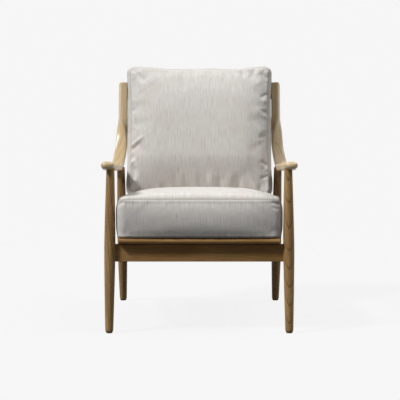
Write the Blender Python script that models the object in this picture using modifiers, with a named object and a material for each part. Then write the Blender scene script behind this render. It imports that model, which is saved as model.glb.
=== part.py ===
"""Occasional chair: an oak lounge chair with swept arms and two loose linen cushions.

Metres, +Z up, the chair faces -Y, and the origin is on the floor under the middle of its box.
Left is -X, as someone who looks at the front of the chair sees it.
"""
import math

import bmesh
import bpy
from mathutils import Matrix, Vector

# Overall
OVERALL_DEPTH = 0.810
SEAT_RAKE_ANGLE = math.radians(8.5)
BACK_RECLINE_ANGLE = math.radians(17.0)

# Fits
TOUCH_GAP = 0.0003
TENON_FIT = 0.0003

# Front legs, turned, with their feet a little wider apart than their tops
FRONT_LEG_SETBACK = 0.052
FRONT_LEG_FOOT_X = 0.3205
FRONT_LEG_TOP_X = 0.3130
FRONT_LEG_FOOT_RADIUS = 0.0142
FRONT_LEG_BELLY_RADIUS = 0.0200
FRONT_LEG_TOP_RADIUS = 0.0140
FRONT_LEG_BELLY_HEIGHT = 0.300

# Rear legs, turned and raked
REAR_LEG_FOOT_SETBACK = 0.0680
REAR_LEG_TOP_SETBACK = 0.2100
REAR_LEG_FOOT_X = 0.3005
REAR_LEG_TOP_X = 0.2990
REAR_LEG_FOOT_RADIUS = 0.0136
REAR_LEG_BELLY_RADIUS = 0.0190
REAR_LEG_TOP_RADIUS = 0.0155
REAR_LEG_BELLY_HEIGHT = 0.235

# How fast a leg thins from its thickest place, and its facets
LEG_SWELL_POWER = 1.35
LEG_SIDES = 24
LEG_RINGS = 12

# Spare length at each foot, cut off level at the glide
FOOT_SPARE = 0.0080

# Felt glides under the feet
GLIDE_RADIUS = 0.0115
GLIDE_THICKNESS = 0.0040
GLIDE_EDGE = 0.0006

# Arms: one sweep from the hand grip, along the arm, through the bend and up the back post
ARM_SLOPE_ANGLE = math.radians(5.5)
ARM_HEIGHT_AT_LEG = 0.5915
ARM_BEND_RADIUS = 0.150
POST_TOP_HEIGHT = 0.8535
GRIP_X = 0.3220
POST_TOP_X = 0.3005
GRIP_WIDTH = 0.0460
GRIP_THICKNESS = 0.0280
GRIP_RISE = 0.0065
GRIP_LENGTH = 0.045
GRIP_NOSE_LENGTH = 0.014
GRIP_NECK_LENGTH = 0.075
ARM_WIDTH = 0.0465
ARM_THICKNESS = 0.0220
BEND_WIDTH = 0.0525
BEND_THICKNESS = 0.0250
POST_WIDTH = 0.0440
POST_THICKNESS = 0.0270
POST_TWIST_ANGLE = math.radians(78.0)
TWIST_BELOW_BEND_END = 0.040
TWIST_LENGTH = 0.125
SWELL_BEFORE_BEND = 0.100
SWELL_BEHIND_BEND = 0.060
STRAIGHT_SECTIONS_END = 0.050
POST_END_ROUNDING = 0.0025
GRIP_SECTION_POWER = 2.4
ARM_SECTION_POWER = 4.0
SECTION_POINTS = 20
NOSE_DEGREES = (14.0, 30.0, 48.0, 68.0, 90.0)

# Round tenons of the legs in the arms
DOWEL_RADIUS = 0.0075
DOWEL_LENGTH = 0.014

# Rails between the legs
APRON_HEIGHT = 0.0620
APRON_THICKNESS = 0.0220
APRON_BELOW_SEAT = 0.0015
APRON_BEHIND_LEG_AXIS = 0.0090
RAIL_HEIGHT = 0.0500
RAIL_THICKNESS = 0.0220
REAR_RAIL_HEIGHT = 0.0460
REAR_RAIL_THICKNESS = 0.0200
RAIL_EDGE = 0.0020
RAIL_END_IN_LEG = 0.0120
TENON_THICKNESS = 0.0110
TENON_SHOULDER = 0.0080
TENON_ROOT = 0.0300
REAR_TENON_SHOULDER = 0.0120
SIDE_TENON_OUTWARD = 0.0010
APRON_END_OVERRUN = 0.0030
APRON_TENON_TIP_INSIDE = 0.0065
RAIL_TENON_TIP_INSIDE = 0.0030

# Seat plane: the top of the rails, where the drop-on seat frame lies
SEAT_PLANE_HEIGHT = 0.3195
SEAT_FRAME_THICKNESS = 0.0180
SEAT_FRAME_FROM_LEG = 0.0110
SEAT_FRAME_FRONT = -0.0260
SEAT_FRAME_MEMBER = 0.0420
SEAT_FRAME_FRONT_MEMBER = 0.0600
SEAT_FRAME_REAR_INSET = 0.0020
SEAT_FRAME_OVERRUN = 0.0040
LIP_EDGE = 0.0015
LIP_STEPS = 8

# Webbing
WEB_COUNT = 7
WEB_WIDTH = 0.0500
WEB_THICKNESS = 0.0015
WEB_END_INSET = 0.0060

# Corner blocks and their screws
BLOCK_LEG = 0.0700
BLOCK_CLIP = 0.0140
BLOCK_HEIGHT = 0.0280
BLOCK_DROP = 0.0003
BLOCK_OVERRUN = 0.0030
SCREW_RADIUS = 0.0025
SCREW_HEAD_RADIUS = 0.0050
SCREW_HEAD_END_RADIUS = 0.0040
SCREW_HEAD_HEIGHT = 0.0028
SCREW_SIDES = 12
SCREW_CLEARANCE = 0.0004
SCREW_INTO_FRAME = 0.0110
SCREW_FROM_RAIL = 0.0260
SCREW_FROM_END = 0.0300
SCREW_HOLE_BELOW_BLOCK = 0.0100

# Back frame
LOWER_BACK_RAIL_HEIGHT = 0.400
BACK_RAIL_WIDTH = 0.0450
BACK_RAIL_THICKNESS = 0.0200
LOWER_BACK_TENON_SHOULDER = 0.0125
BACK_TENON_ROOT = 0.0400
BACK_TOP_RAIL_BELOW_TOP = 0.0420
BACK_FRAME_FORWARD = 0.0060
SLAT_COUNT = 6
SLAT_WIDTH = 0.0360
SLAT_THICKNESS = 0.0090
SLAT_PITCH = 0.0860
SLAT_TENON = 0.0120
SLAT_EDGE = 0.0015

# Seat cushion, in the seat plane's frame
SEAT_CUSHION_FROM_LEG = 0.0010
SEAT_CUSHION_FRONT = -0.0350
SEAT_CUSHION_FRONT_LEAN = 0.0105
SEAT_CUSHION_THICKNESS = 0.1355
SEAT_CUSHION_CROWN = 0.0545
SEAT_CUSHION_REST_CROWN = 0.0325
SEAT_CUSHION_REST_FROM = 0.380
SEAT_CUSHION_REST_RUN = 0.140
SEAT_CUSHION_SEAM_INSET = 0.0050
SEAT_CUSHION_DRAWN_IN = 0.0060
SEAT_CUSHION_FRONT_BULGE = 0.0140
SEAT_CUSHION_BULGE_POWER = 8

# Back cushion, in the back frame
BACK_CUSHION_FROM_POST = 0.0045
BACK_CUSHION_TOP = 0.5120
BACK_CUSHION_THICKNESS = 0.1100
BACK_CUSHION_CROWN = 0.0520
BACK_CUSHION_UPRIGHT_POWER = 2.0
BACK_CUSHION_UPRIGHT_FALL = 0.6
BACK_CUSHION_SEAM_INSET = 0.0100
BACK_CUSHION_DRAWN_IN = 0.0060
BACK_CUSHION_EAR = 0.0070
BACK_CUSHION_EAR_POWER = 3
BACK_CUSHION_ABOVE_SEAT = 0.0003
BACK_CUSHION_LOWER_EDGE_LIFT = 0.0120
BACK_CUSHION_LIFT_SHARE = 0.3

# How the cushions' cages are spaced and how their crowns fall off to the seams
CUSHION_CUTS = 6
CROWN_POWER = 2.6
CROWN_FALL_POWER = 0.4
SEAM_POWER = 4

# Places worked out from the sizes above
LEG_Y = -OVERALL_DEPTH / 2 + FRONT_LEG_SETBACK
LEG_X_AT_SEAT = FRONT_LEG_FOOT_X + (FRONT_LEG_TOP_X - FRONT_LEG_FOOT_X) * (
    SEAT_PLANE_HEIGHT / ARM_HEIGHT_AT_LEG
)
LEG_INNER_X = LEG_X_AT_SEAT - FRONT_LEG_BELLY_RADIUS
APRON_TOP = SEAT_PLANE_HEIGHT - APRON_BELOW_SEAT
SEAT_FRAME_HALF_WIDTH = LEG_INNER_X - SEAT_FRAME_FROM_LEG
SEAT_CUSHION_HALF_WIDTH = LEG_INNER_X - SEAT_CUSHION_FROM_LEG
BACK_CUSHION_HALF_WIDTH = POST_TOP_X - POST_THICKNESS / 2 - BACK_CUSHION_FROM_POST
SEAT_CUSHION_BOTTOM = TOUCH_GAP + SEAT_FRAME_THICKNESS + TOUCH_GAP + WEB_THICKNESS + TOUCH_GAP


def clear_scene():
    """Remove the objects that a new file starts with."""
    for obj in list(bpy.data.objects):
        bpy.data.objects.remove(obj, do_unlink=True)


def new_collection(name):
    """Make a collection under the scene's own."""
    collection = bpy.data.collections.new(name)
    bpy.context.scene.collection.children.link(collection)
    return collection


def new_material(name, colour, roughness, metallic=0.0):
    """Make a plain Principled material."""
    material = bpy.data.materials.new(name)
    material.use_nodes = True
    shader = material.node_tree.nodes["Principled BSDF"]
    shader.inputs["Base Color"].default_value = (*colour, 1.0)
    shader.inputs["Roughness"].default_value = roughness
    shader.inputs["Metallic"].default_value = metallic
    return material


clear_scene()
CHAIR = new_collection("occasional_chair")
CUTTERS = new_collection("cutters")
OAK = new_material("oak", (0.36, 0.23, 0.11), 0.5)
LINEN = new_material("linen", (0.60, 0.57, 0.52), 0.9)
WEBBING = new_material("elastic_webbing", (0.05, 0.05, 0.05), 0.8)
STEEL = new_material("zinc_plated_steel", (0.6, 0.6, 0.6), 0.35, 1.0)
FELT = new_material("felt", (0.18, 0.15, 0.12), 0.95)


def new_object(name, bm, material=None, parent=None):
    """Put a bmesh in an object: a part where it has a material, and a cutter where it has none."""
    mesh = bpy.data.meshes.new(name)
    bm.to_mesh(mesh)
    bm.free()
    obj = bpy.data.objects.new(name, mesh)
    if material:
        mesh.materials.append(material)
        CHAIR.objects.link(obj)
    else:
        CUTTERS.objects.link(obj)
        obj.hide_render = True
        obj.display_type = "WIRE"
    obj.parent = parent
    return obj


def new_frame(name, origin, tilt):
    """Make an empty whose Y axis runs rearward and down by the tilt, for the pieces on that plane."""
    empty = bpy.data.objects.new(name, None)
    CHAIR.objects.link(empty)
    empty.location = origin
    empty.rotation_euler = (-tilt, 0.0, 0.0)
    return empty


def bevel(obj, width, segments=2):
    """Round the edges of a piece."""
    modifier = obj.modifiers.new("rounded_edges", "BEVEL")
    modifier.width = width
    modifier.segments = segments
    modifier.limit_method = "ANGLE"
    modifier.angle_limit = math.radians(40.0)


def combine(obj, tool, operation):
    """Cut a piece with a tool, or join the tool to it."""
    modifier = obj.modifiers.new(operation.lower() + "_" + tool.name, "BOOLEAN")
    modifier.object = tool
    modifier.operation = operation
    modifier.solver = "EXACT"


def cut(obj, *tools):
    """Take each tool's shape out of a piece."""
    for tool in tools:
        combine(obj, tool, "DIFFERENCE")


def join(obj, tool):
    """Make a tool's shape part of a piece."""
    combine(obj, tool, "UNION")


def box(name, low, high, material=None, parent=None, edge=0.0):
    """Make a box between two corners, with rounded edges."""
    low, high = Vector(low), Vector(high)
    bm = bmesh.new()
    bmesh.ops.create_cube(bm, size=1.0)
    size = high - low
    bmesh.ops.scale(bm, vec=size, verts=bm.verts)
    obj = new_object(name, bm, material, parent)
    obj.location = (low + high) / 2
    if edge:
        bevel(obj, edge)
    return obj


def along(start, end):
    """The rotation that turns local Y to a direction and keeps local Z as near up as it can."""
    return (Vector(end) - Vector(start)).to_track_quat("Y", "Z")


def upright(start, end):
    """The rotation that turns local Z to a direction."""
    return Vector((0.0, 0.0, 1.0)).rotation_difference(Vector(end) - Vector(start))


def rod(name, start, end, radius, material=None, parent=None, sides=20):
    """Make a cylinder between two points."""
    start, end = Vector(start), Vector(end)
    bm = bmesh.new()
    length = (end - start).length
    bmesh.ops.create_cone(
        bm, cap_ends=True, segments=sides, radius1=radius, radius2=radius, depth=length
    )
    obj = new_object(name, bm, material, parent)
    obj.location = (start + end) / 2
    obj.rotation_mode = "QUATERNION"
    obj.rotation_quaternion = upright(start, end)
    return obj


def turned(name, profile, start, end, material=None, parent=None, sides=LEG_SIDES):
    """Make a turned piece: the profile lists radius and height, from the top down to the foot."""
    start, end = Vector(start), Vector(end)
    bm = bmesh.new()
    points = [(0.0, profile[0][1]), *profile, (0.0, profile[-1][1])]
    verts = [bm.verts.new((radius, 0.0, height)) for radius, height in points]
    for first, second in zip(verts, verts[1:]):
        bm.edges.new((first, second))
    obj = new_object(name, bm, material, parent)
    obj.location = start
    obj.rotation_mode = "QUATERNION"
    obj.rotation_quaternion = upright(start, end)
    screw = obj.modifiers.new("turning", "SCREW")
    screw.steps = sides
    screw.render_steps = sides
    screw.use_merge_vertices = True
    screw.merge_threshold = 0.0001
    screw.use_smooth_shade = True
    return obj


def leg_profile(length, foot, belly, top, belly_height, grow=0.0):
    """A leg's radius at each height: thickest at the belly, thinning to both ends."""
    profile = []
    for ring in range(LEG_RINGS, -1, -1):
        height = length * ring / LEG_RINGS
        if height < belly_height:
            share = (belly_height - height) / belly_height
            thin = (belly - foot) * share ** LEG_SWELL_POWER
        else:
            share = (height - belly_height) / (length - belly_height)
            thin = (belly - top) * share ** LEG_SWELL_POWER
        profile.append((belly - thin + grow, height))
    profile[0] = (profile[0][0], profile[0][1] + grow)
    profile[-1] = (profile[-1][0], profile[-1][1] - FOOT_SPARE)
    return profile


def smooth(value, low, high):
    """0 below low, 1 above high, and an S-curve between."""
    share = min(max((value - low) / (high - low), 0.0), 1.0)
    return share * share * (3.0 - 2.0 * share)


class ArmPath:
    """The arm's centre line in side view: straight arm, round bend, straight back post."""

    def __init__(self):
        self.low_angle = -ARM_SLOPE_ANGLE
        self.high_angle = math.pi / 2 - BACK_RECLINE_ANGLE
        low = Vector((math.cos(self.low_angle), math.sin(self.low_angle)))
        high = Vector((math.cos(self.high_angle), math.sin(self.high_angle)))
        dual = ARM_SECTION_POWER / (ARM_SECTION_POWER - 1.0)
        wide = (POST_WIDTH / 2 * math.sin(POST_TWIST_ANGLE)) ** dual
        thick = (POST_THICKNESS / 2 * math.cos(POST_TWIST_ANGLE)) ** dual
        half_depth = (wide + thick) ** (1.0 / dual)
        rear_edge = OVERALL_DEPTH / 2
        self.top = Vector((rear_edge - half_depth * math.cos(BACK_RECLINE_ANGLE), POST_TOP_HEIGHT))
        self.front = Vector((-OVERALL_DEPTH / 2, 0.0))
        self.front.y = ARM_HEIGHT_AT_LEG + FRONT_LEG_SETBACK * math.tan(ARM_SLOPE_ANGLE)
        across = self.top - self.front
        reach = (across.x * high.y - across.y * high.x) / (low.x * high.y - low.y * high.x)
        corner = self.front + low * reach
        tangent = ARM_BEND_RADIUS * math.tan((self.high_angle - self.low_angle) / 2)
        self.bend_start = reach - tangent
        self.bend_end = self.bend_start + ARM_BEND_RADIUS * (self.high_angle - self.low_angle)
        self.length = self.bend_end + (self.top - corner).length - tangent
        self.low, self.high = low, high
        start = self.front + low * self.bend_start
        self.centre = start + ARM_BEND_RADIUS * Vector((-low.y, low.x))

    def at(self, distance):
        """The point (y, z) and the direction's angle at a distance from the front tip."""
        if distance <= self.bend_start:
            return self.front + self.low * distance, self.low_angle
        if distance >= self.bend_end:
            return self.top - self.high * (self.length - distance), self.high_angle
        angle = self.low_angle + (distance - self.bend_start) / ARM_BEND_RADIUS
        spoke = Vector((math.sin(angle), -math.cos(angle)))
        return self.centre + ARM_BEND_RADIUS * spoke, angle


PATH = ArmPath()


def arm_section(distance, grow):
    """Half width, half thickness, twist, squareness, rise and sideways place at a distance."""
    neck = smooth(distance, GRIP_LENGTH, GRIP_LENGTH + GRIP_NECK_LENGTH)
    bend_middle = (PATH.bend_start + PATH.bend_end) / 2
    into_bend = smooth(distance, PATH.bend_start - SWELL_BEFORE_BEND, bend_middle)
    into_post = smooth(distance, bend_middle, PATH.bend_end + SWELL_BEHIND_BEND)
    width = GRIP_WIDTH + (ARM_WIDTH - GRIP_WIDTH) * neck
    width += (BEND_WIDTH - ARM_WIDTH) * into_bend + (POST_WIDTH - BEND_WIDTH) * into_post
    thick = GRIP_THICKNESS + (ARM_THICKNESS - GRIP_THICKNESS) * neck
    thick += (BEND_THICKNESS - ARM_THICKNESS) * into_bend
    thick += (POST_THICKNESS - BEND_THICKNESS) * into_post
    twist_start = PATH.bend_end - TWIST_BELOW_BEND_END
    twist = POST_TWIST_ANGLE * smooth(distance, twist_start, twist_start + TWIST_LENGTH)
    square = GRIP_SECTION_POWER + (ARM_SECTION_POWER - GRIP_SECTION_POWER) * neck
    rise = GRIP_RISE * (1.0 - neck)
    side = GRIP_X + (POST_TOP_X - GRIP_X) * distance / PATH.length
    return width / 2 + grow, thick / 2 + grow, twist, square, rise, side


def arm_stations():
    """Distances of the arm's sections and the scale of each: a round nose, then full sections."""
    stations = []
    for degrees in NOSE_DEGREES:
        angle = math.radians(degrees)
        stations.append((GRIP_NOSE_LENGTH * (1.0 - math.cos(angle)), math.sin(angle)))
    neck_end = GRIP_LENGTH + GRIP_NECK_LENGTH
    straight_end = PATH.bend_start - STRAIGHT_SECTIONS_END
    twist_start = PATH.bend_end - TWIST_BELOW_BEND_END
    twist_end = PATH.bend_end + TWIST_LENGTH
    places = (
        (GRIP_NOSE_LENGTH, 0),
        (GRIP_LENGTH, 2),
        (neck_end, 5),
        (straight_end, 3),
        (twist_start, 9),
        (twist_end, 9),
        (PATH.length - POST_END_ROUNDING, 1),
    )
    for (start, _), (end, count) in zip(places, places[1:]):
        for step in range(1, count + 1):
            stations.append((start + (end - start) * step / count, 1.0))
    return stations


def arm_ring(bm, side, distance, scale, inset, grow):
    """One section of the arm: a rounded oblong, turned about the path by the twist."""
    half_width, half_thick, twist, square, rise, spacing = arm_section(distance, grow)
    half_width = (half_width - inset) * scale
    half_thick = (half_thick - inset) * scale
    point, angle = PATH.at(distance)
    normal = Vector((0.0, -math.sin(angle), math.cos(angle)))
    outward = Vector((side, 0.0, 0.0))
    face = normal * math.cos(twist) + outward * math.sin(twist)
    width_axis = outward * math.cos(twist) - normal * math.sin(twist)
    centre = Vector((side * spacing, point.x, point.y)) + normal * rise
    ring = []
    for index in range(SECTION_POINTS):
        turn = 2.0 * math.pi * (index + 0.5) / SECTION_POINTS
        across = math.copysign(abs(math.cos(turn)) ** (2.0 / square), math.cos(turn))
        through = math.copysign(abs(math.sin(turn)) ** (2.0 / square), math.sin(turn))
        place = centre + width_axis * (half_width * across) + face * (half_thick * through)
        ring.append(bm.verts.new(place))
    return ring


def arm(name, side, material=None, grow=0.0):
    """The swept arm and back post: a loft through sections that widen, thin and twist."""
    bm = bmesh.new()
    rings = [arm_ring(bm, side, d, scale, 0.0, grow) for d, scale in arm_stations()]
    rings.append(arm_ring(bm, side, PATH.length + grow, 1.0, POST_END_ROUNDING, grow))
    tip_point, tip_angle = PATH.at(0.0)
    tip_rise = Vector((0.0, -math.sin(tip_angle), math.cos(tip_angle))) * GRIP_RISE
    tip = bm.verts.new(Vector((side * GRIP_X, tip_point.x - grow, tip_point.y)) + tip_rise)
    for ring, following in zip(rings, rings[1:]):
        for index in range(SECTION_POINTS):
            after = (index + 1) % SECTION_POINTS
            bm.faces.new((ring[index], ring[after], following[after], following[index]))
    for index in range(SECTION_POINTS):
        bm.faces.new((tip, rings[0][(index + 1) % SECTION_POINTS], rings[0][index]))
    bm.faces.new(rings[-1])
    bmesh.ops.recalc_face_normals(bm, faces=bm.faces)
    return new_object(name, bm, material)


def leg_ends(side, which):
    """The foot and top points of a leg's axis. The top is on the arm's centre line."""
    if which == "front":
        foot = Vector((side * FRONT_LEG_FOOT_X, LEG_Y, GLIDE_THICKNESS + TOUCH_GAP))
        height = ARM_HEIGHT_AT_LEG + GRIP_RISE / 2
        return foot, Vector((side * FRONT_LEG_TOP_X, LEG_Y, height))
    foot_y = OVERALL_DEPTH / 2 - REAR_LEG_FOOT_SETBACK
    top_y = OVERALL_DEPTH / 2 - REAR_LEG_TOP_SETBACK
    foot = Vector((side * REAR_LEG_FOOT_X, foot_y, GLIDE_THICKNESS + TOUCH_GAP))
    top_height = arm_height(top_y)
    return foot, Vector((side * REAR_LEG_TOP_X, top_y, top_height))


def arm_height(y):
    """The height of the arm's centre line above a place in its straight stretch or its bend."""
    low, high = 0.0, PATH.bend_end
    for _ in range(40):
        middle = (low + high) / 2
        if PATH.at(middle)[0].x < y:
            low = middle
        else:
            high = middle
    return PATH.at(low)[0].y


def leg(name, side, which, material=None, grow=0.0):
    """One turned leg, as a part or, grown, as the tool that scribes a rail to it."""
    foot, top = leg_ends(side, which)
    length = (top - foot).length
    if which == "front":
        radii = (FRONT_LEG_FOOT_RADIUS, FRONT_LEG_BELLY_RADIUS, FRONT_LEG_TOP_RADIUS)
        belly_height = FRONT_LEG_BELLY_HEIGHT
    else:
        radii = (REAR_LEG_FOOT_RADIUS, REAR_LEG_BELLY_RADIUS, REAR_LEG_TOP_RADIUS)
        belly_height = REAR_LEG_BELLY_HEIGHT
    profile = leg_profile(length, *radii, belly_height, grow)
    return turned(name, profile, foot, top, material)


def leg_axis_at(side, which, height):
    """The point of a leg's axis at a height above the floor."""
    foot, top = leg_ends(side, which)
    return foot.lerp(top, (height - foot.z) / (top.z - foot.z))


SIDES = (("left", -1.0), ("right", 1.0))
SEAT_ORIGIN = Vector((0.0, LEG_Y, SEAT_PLANE_HEIGHT))
SEAT = new_frame("seat_plane", SEAT_ORIGIN, SEAT_RAKE_ANGLE)
SEAT_TURN = Matrix.Rotation(-SEAT_RAKE_ANGLE, 3, "X")


def seat_leg_place(side, which, below):
    """Where a leg's axis passes a level below the seat plane, in the seat plane's frame."""
    foot, top = leg_ends(side, which)
    start = SEAT_TURN.transposed() @ (foot - SEAT_ORIGIN)
    end = SEAT_TURN.transposed() @ (top - SEAT_ORIGIN)
    return start.lerp(end, (-below - start.z) / (end.z - start.z))


def oriented_box(name, start, end, low, high, material=None, parent=None, edge=0.0):
    """A box whose local Y runs from one point to another: low and high are its X and Z limits."""
    start, end = Vector(start), Vector(end)
    length = (end - start).length
    obj = box(name, (low[0], 0.0, low[1]), (high[0], length, high[1]), material, parent, edge)
    turn = along(start, end)
    obj.location = start + turn @ obj.location
    obj.rotation_mode = "QUATERNION"
    obj.rotation_quaternion = turn
    return obj


def build_arms_and_legs():
    """Legs with round tenons that stand in holes under the arms."""
    pieces = {}
    for label, side in SIDES:
        swept = arm("arm_" + label, side, OAK)
        arm_tool = arm("arm_tool_" + label, side, grow=TOUCH_GAP)
        pieces["arm_" + label] = swept
        for which in ("front", "rear"):
            name = which + "_leg_" + label
            piece = leg(name, side, which, OAK)
            foot, top = leg_ends(side, which)
            axis = (top - foot).normalized()
            reach = FRONT_LEG_BELLY_RADIUS * 2
            low = (foot.x - reach, foot.y - reach, -reach)
            level = (foot.x + reach, foot.y + reach, GLIDE_THICKNESS + TOUCH_GAP)
            cut(piece, arm_tool, box(name + "_foot_level", low, level))
            tip = top + axis * (DOWEL_LENGTH / 2 - BEND_THICKNESS / 4)
            root = top - axis * (DOWEL_LENGTH + BEND_THICKNESS)
            join(piece, rod(name + "_tenon", root, tip, DOWEL_RADIUS))
            hole_end = tip + axis * TENON_FIT
            hole = rod(name + "_hole", root, hole_end, DOWEL_RADIUS + TENON_FIT)
            cut(swept, hole)
            pieces[name] = piece
            glide = rod(
                "foot_glide_" + which + "_" + label,
                (foot.x, foot.y, 0.0),
                (foot.x, foot.y, GLIDE_THICKNESS),
                GLIDE_RADIUS,
                FELT,
            )
            bevel(glide, GLIDE_EDGE, 1)
    return pieces


def build_front_apron(pieces):
    """The apron between the front legs, scribed to them, with a tenon in each."""
    front = LEG_Y + APRON_BEHIND_LEG_AXIS - APRON_THICKNESS / 2
    rear = front + APRON_THICKNESS
    bottom = APRON_TOP - APRON_HEIGHT
    middle = (bottom + APRON_TOP) / 2
    shoulder = leg_axis_at(1.0, "front", middle).x - TENON_THICKNESS - APRON_END_OVERRUN
    low, high = (-shoulder, front, bottom), (shoulder, rear, APRON_TOP)
    apron = box("front_apron", low, high, OAK, edge=RAIL_EDGE)
    reach = shoulder + APRON_HEIGHT
    plane_low = (-reach, -APRON_HEIGHT, 0.0)
    plane_high = (reach, APRON_HEIGHT, APRON_HEIGHT)
    cut(apron, box("apron_top_plane", plane_low, plane_high, parent=SEAT))
    for label, side in SIDES:
        cut(apron, leg("apron_scribe_" + label, side, "front", grow=TOUCH_GAP))
        tip = leg_axis_at(side, "front", middle).x - side * APRON_TENON_TIP_INSIDE
        root = side * (shoulder - TENON_ROOT)
        half = TENON_THICKNESS / 2
        y = (front + rear) / 2
        limits = sorted((root, tip))
        tenon_low = (limits[0], y - half, bottom + TENON_SHOULDER)
        tenon_high = (limits[1], y + half, APRON_TOP - TENON_SHOULDER)
        join(apron, box("apron_tenon_" + label, tenon_low, tenon_high))
        fit = Vector((TENON_FIT, TENON_FIT, TENON_FIT))
        mortise = box("apron_mortise_" + label, Vector(tenon_low) - fit, Vector(tenon_high) + fit)
        cut(pieces["front_leg_" + label], mortise)
    return apron


def build_side_rails(pieces):
    """The side rails from leg to leg, their tops in the seat plane."""
    middle = RAIL_HEIGHT / 2
    for label, side in SIDES:
        start = seat_leg_place(side, "front", middle)
        end = seat_leg_place(side, "rear", middle)
        run = (end - start).normalized()
        rail_start = start + run * RAIL_END_IN_LEG
        rail_end = end - run * RAIL_END_IN_LEG
        low = (-RAIL_THICKNESS / 2, -middle)
        high = (RAIL_THICKNESS / 2, middle)
        name = "side_rail_" + label
        rail = oriented_box(name, rail_start, rail_end, low, high, OAK, SEAT, RAIL_EDGE)
        for which in ("front", "rear"):
            cut(rail, leg("side_scribe_" + which + "_" + label, side, which, grow=TOUCH_GAP))
        shift = side * SIDE_TENON_OUTWARD
        tenon_low = (-TENON_THICKNESS / 2 + shift, -middle + TENON_SHOULDER)
        tenon_high = (TENON_THICKNESS / 2 + shift, middle - TENON_SHOULDER)
        tip = start + run * RAIL_TENON_TIP_INSIDE
        tail = end - run * RAIL_TENON_TIP_INSIDE
        join(rail, oriented_box("side_tenon_" + label, tip, tail, tenon_low, tenon_high, parent=SEAT))
        fit = TENON_FIT
        mortise = oriented_box(
            "side_mortise_" + label,
            tip - run * fit,
            tail + run * fit,
            (tenon_low[0] - fit, tenon_low[1] - fit),
            (tenon_high[0] + fit, tenon_high[1] + fit),
            parent=SEAT,
        )
        cut(pieces["front_leg_" + label], mortise)
        cut(pieces["rear_leg_" + label], mortise)
        pieces[name] = rail


def build_rear_rail(pieces):
    """The rail between the rear legs, square to the seat plane, with a tenon in each leg."""
    middle = REAR_RAIL_HEIGHT / 2
    place = seat_leg_place(1.0, "rear", middle)
    half = REAR_RAIL_THICKNESS / 2
    shoulder = place.x - TENON_THICKNESS
    low = (-shoulder, place.y - half, -REAR_RAIL_HEIGHT)
    high = (shoulder, place.y + half, 0.0)
    rail = box("rear_rail", low, high, OAK, SEAT, RAIL_EDGE)
    for label, side in SIDES:
        cut(rail, leg("rear_scribe_" + label, side, "rear", grow=TOUCH_GAP))
        tip = place.x - APRON_TENON_TIP_INSIDE
        limits = sorted((side * (shoulder - TENON_ROOT), side * tip))
        front = place.y - TENON_THICKNESS / 2
        tenon_low = Vector((limits[0], front, -REAR_RAIL_HEIGHT + REAR_TENON_SHOULDER))
        tenon_high = Vector((limits[1], front + TENON_THICKNESS, -REAR_TENON_SHOULDER))
        join(rail, box("rear_tenon_" + label, tenon_low, tenon_high, parent=SEAT))
        fit = Vector((TENON_FIT, TENON_FIT, TENON_FIT))
        mortise = box("rear_mortise_" + label, tenon_low - fit, tenon_high + fit, parent=SEAT)
        cut(pieces["rear_leg_" + label], mortise)
    return rail


def seat_frame_rear_edge():
    """The seat frame reaches back nearly to the rear face of the rear rail."""
    place = seat_leg_place(1.0, "rear", REAR_RAIL_HEIGHT / 2)
    return place.y + REAR_RAIL_THICKNESS / 2 - SEAT_FRAME_REAR_INSET


def seat_frame_half_width(y):
    """The seat frame narrows to the rear as the side rails do."""
    front = seat_leg_place(1.0, "front", RAIL_HEIGHT / 2)
    rear = seat_leg_place(1.0, "rear", RAIL_HEIGHT / 2)
    return SEAT_FRAME_HALF_WIDTH - (front.x - rear.x) * (y - front.y) / (rear.y - front.y)


def build_seat_frame():
    """The drop-on frame: a front member with a rounded lip, two sides and a rear member."""
    low_z = TOUCH_GAP
    high_z = TOUCH_GAP + SEAT_FRAME_THICKNESS
    radius = SEAT_FRAME_THICKNESS / 2
    front_back = SEAT_FRAME_FRONT + SEAT_FRAME_FRONT_MEMBER
    bm = bmesh.new()
    outline = [(front_back, low_z), (front_back, high_z)]
    for step in range(LIP_STEPS + 1):
        angle = math.pi * (0.5 + step / LIP_STEPS)
        y = SEAT_FRAME_FRONT + radius + radius * math.cos(angle)
        outline.append((y, low_z + radius + radius * math.sin(angle)))
    ring = [bm.verts.new((-SEAT_FRAME_HALF_WIDTH, y, z)) for y, z in outline]
    face = bm.faces.new(ring)
    moved = bmesh.ops.extrude_face_region(bm, geom=[face])["geom"]
    verts = [item for item in moved if isinstance(item, bmesh.types.BMVert)]
    bmesh.ops.translate(bm, vec=(2 * SEAT_FRAME_HALF_WIDTH, 0.0, 0.0), verts=verts)
    bmesh.ops.recalc_face_normals(bm, faces=bm.faces)
    lip = new_object("seat_frame_front", bm, OAK, SEAT)
    bevel(lip, LIP_EDGE, 1)

    rear_edge = seat_frame_rear_edge()
    rear_low = rear_edge - SEAT_FRAME_MEMBER
    half = seat_frame_half_width(rear_edge)
    low = (-half, rear_low, low_z)
    high = (half, rear_edge, high_z)
    rear = box("seat_frame_rear", low, high, OAK, SEAT, RAIL_EDGE)
    members = {"front": lip, "rear": rear}
    for label, side in SIDES:
        start = Vector((side * seat_frame_half_width(front_back), front_back + TOUCH_GAP, 0.0))
        end = Vector((side * seat_frame_half_width(rear_low), rear_low - TOUCH_GAP, 0.0))
        limits = sorted((0.0, -side * SEAT_FRAME_MEMBER))
        overrun = (end - start).normalized() * SEAT_FRAME_OVERRUN
        member = oriented_box(
            "seat_frame_" + label,
            start - overrun,
            end + overrun,
            (limits[0], low_z),
            (limits[1], high_z),
            OAK,
            SEAT,
            RAIL_EDGE,
        )
        wide = SEAT_FRAME_HALF_WIDTH * 2
        low = (-wide, SEAT_FRAME_FRONT, -wide)
        high = (wide, front_back + TOUCH_GAP, wide)
        front_stop = box("front_stop_" + label, low, high, parent=SEAT)
        low = (-wide, rear_low - TOUCH_GAP, -wide)
        high = (wide, rear_edge, wide)
        rear_stop = box("rear_stop_" + label, low, high, parent=SEAT)
        cut(member, front_stop, rear_stop)
        members[label] = member
    return members


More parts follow.
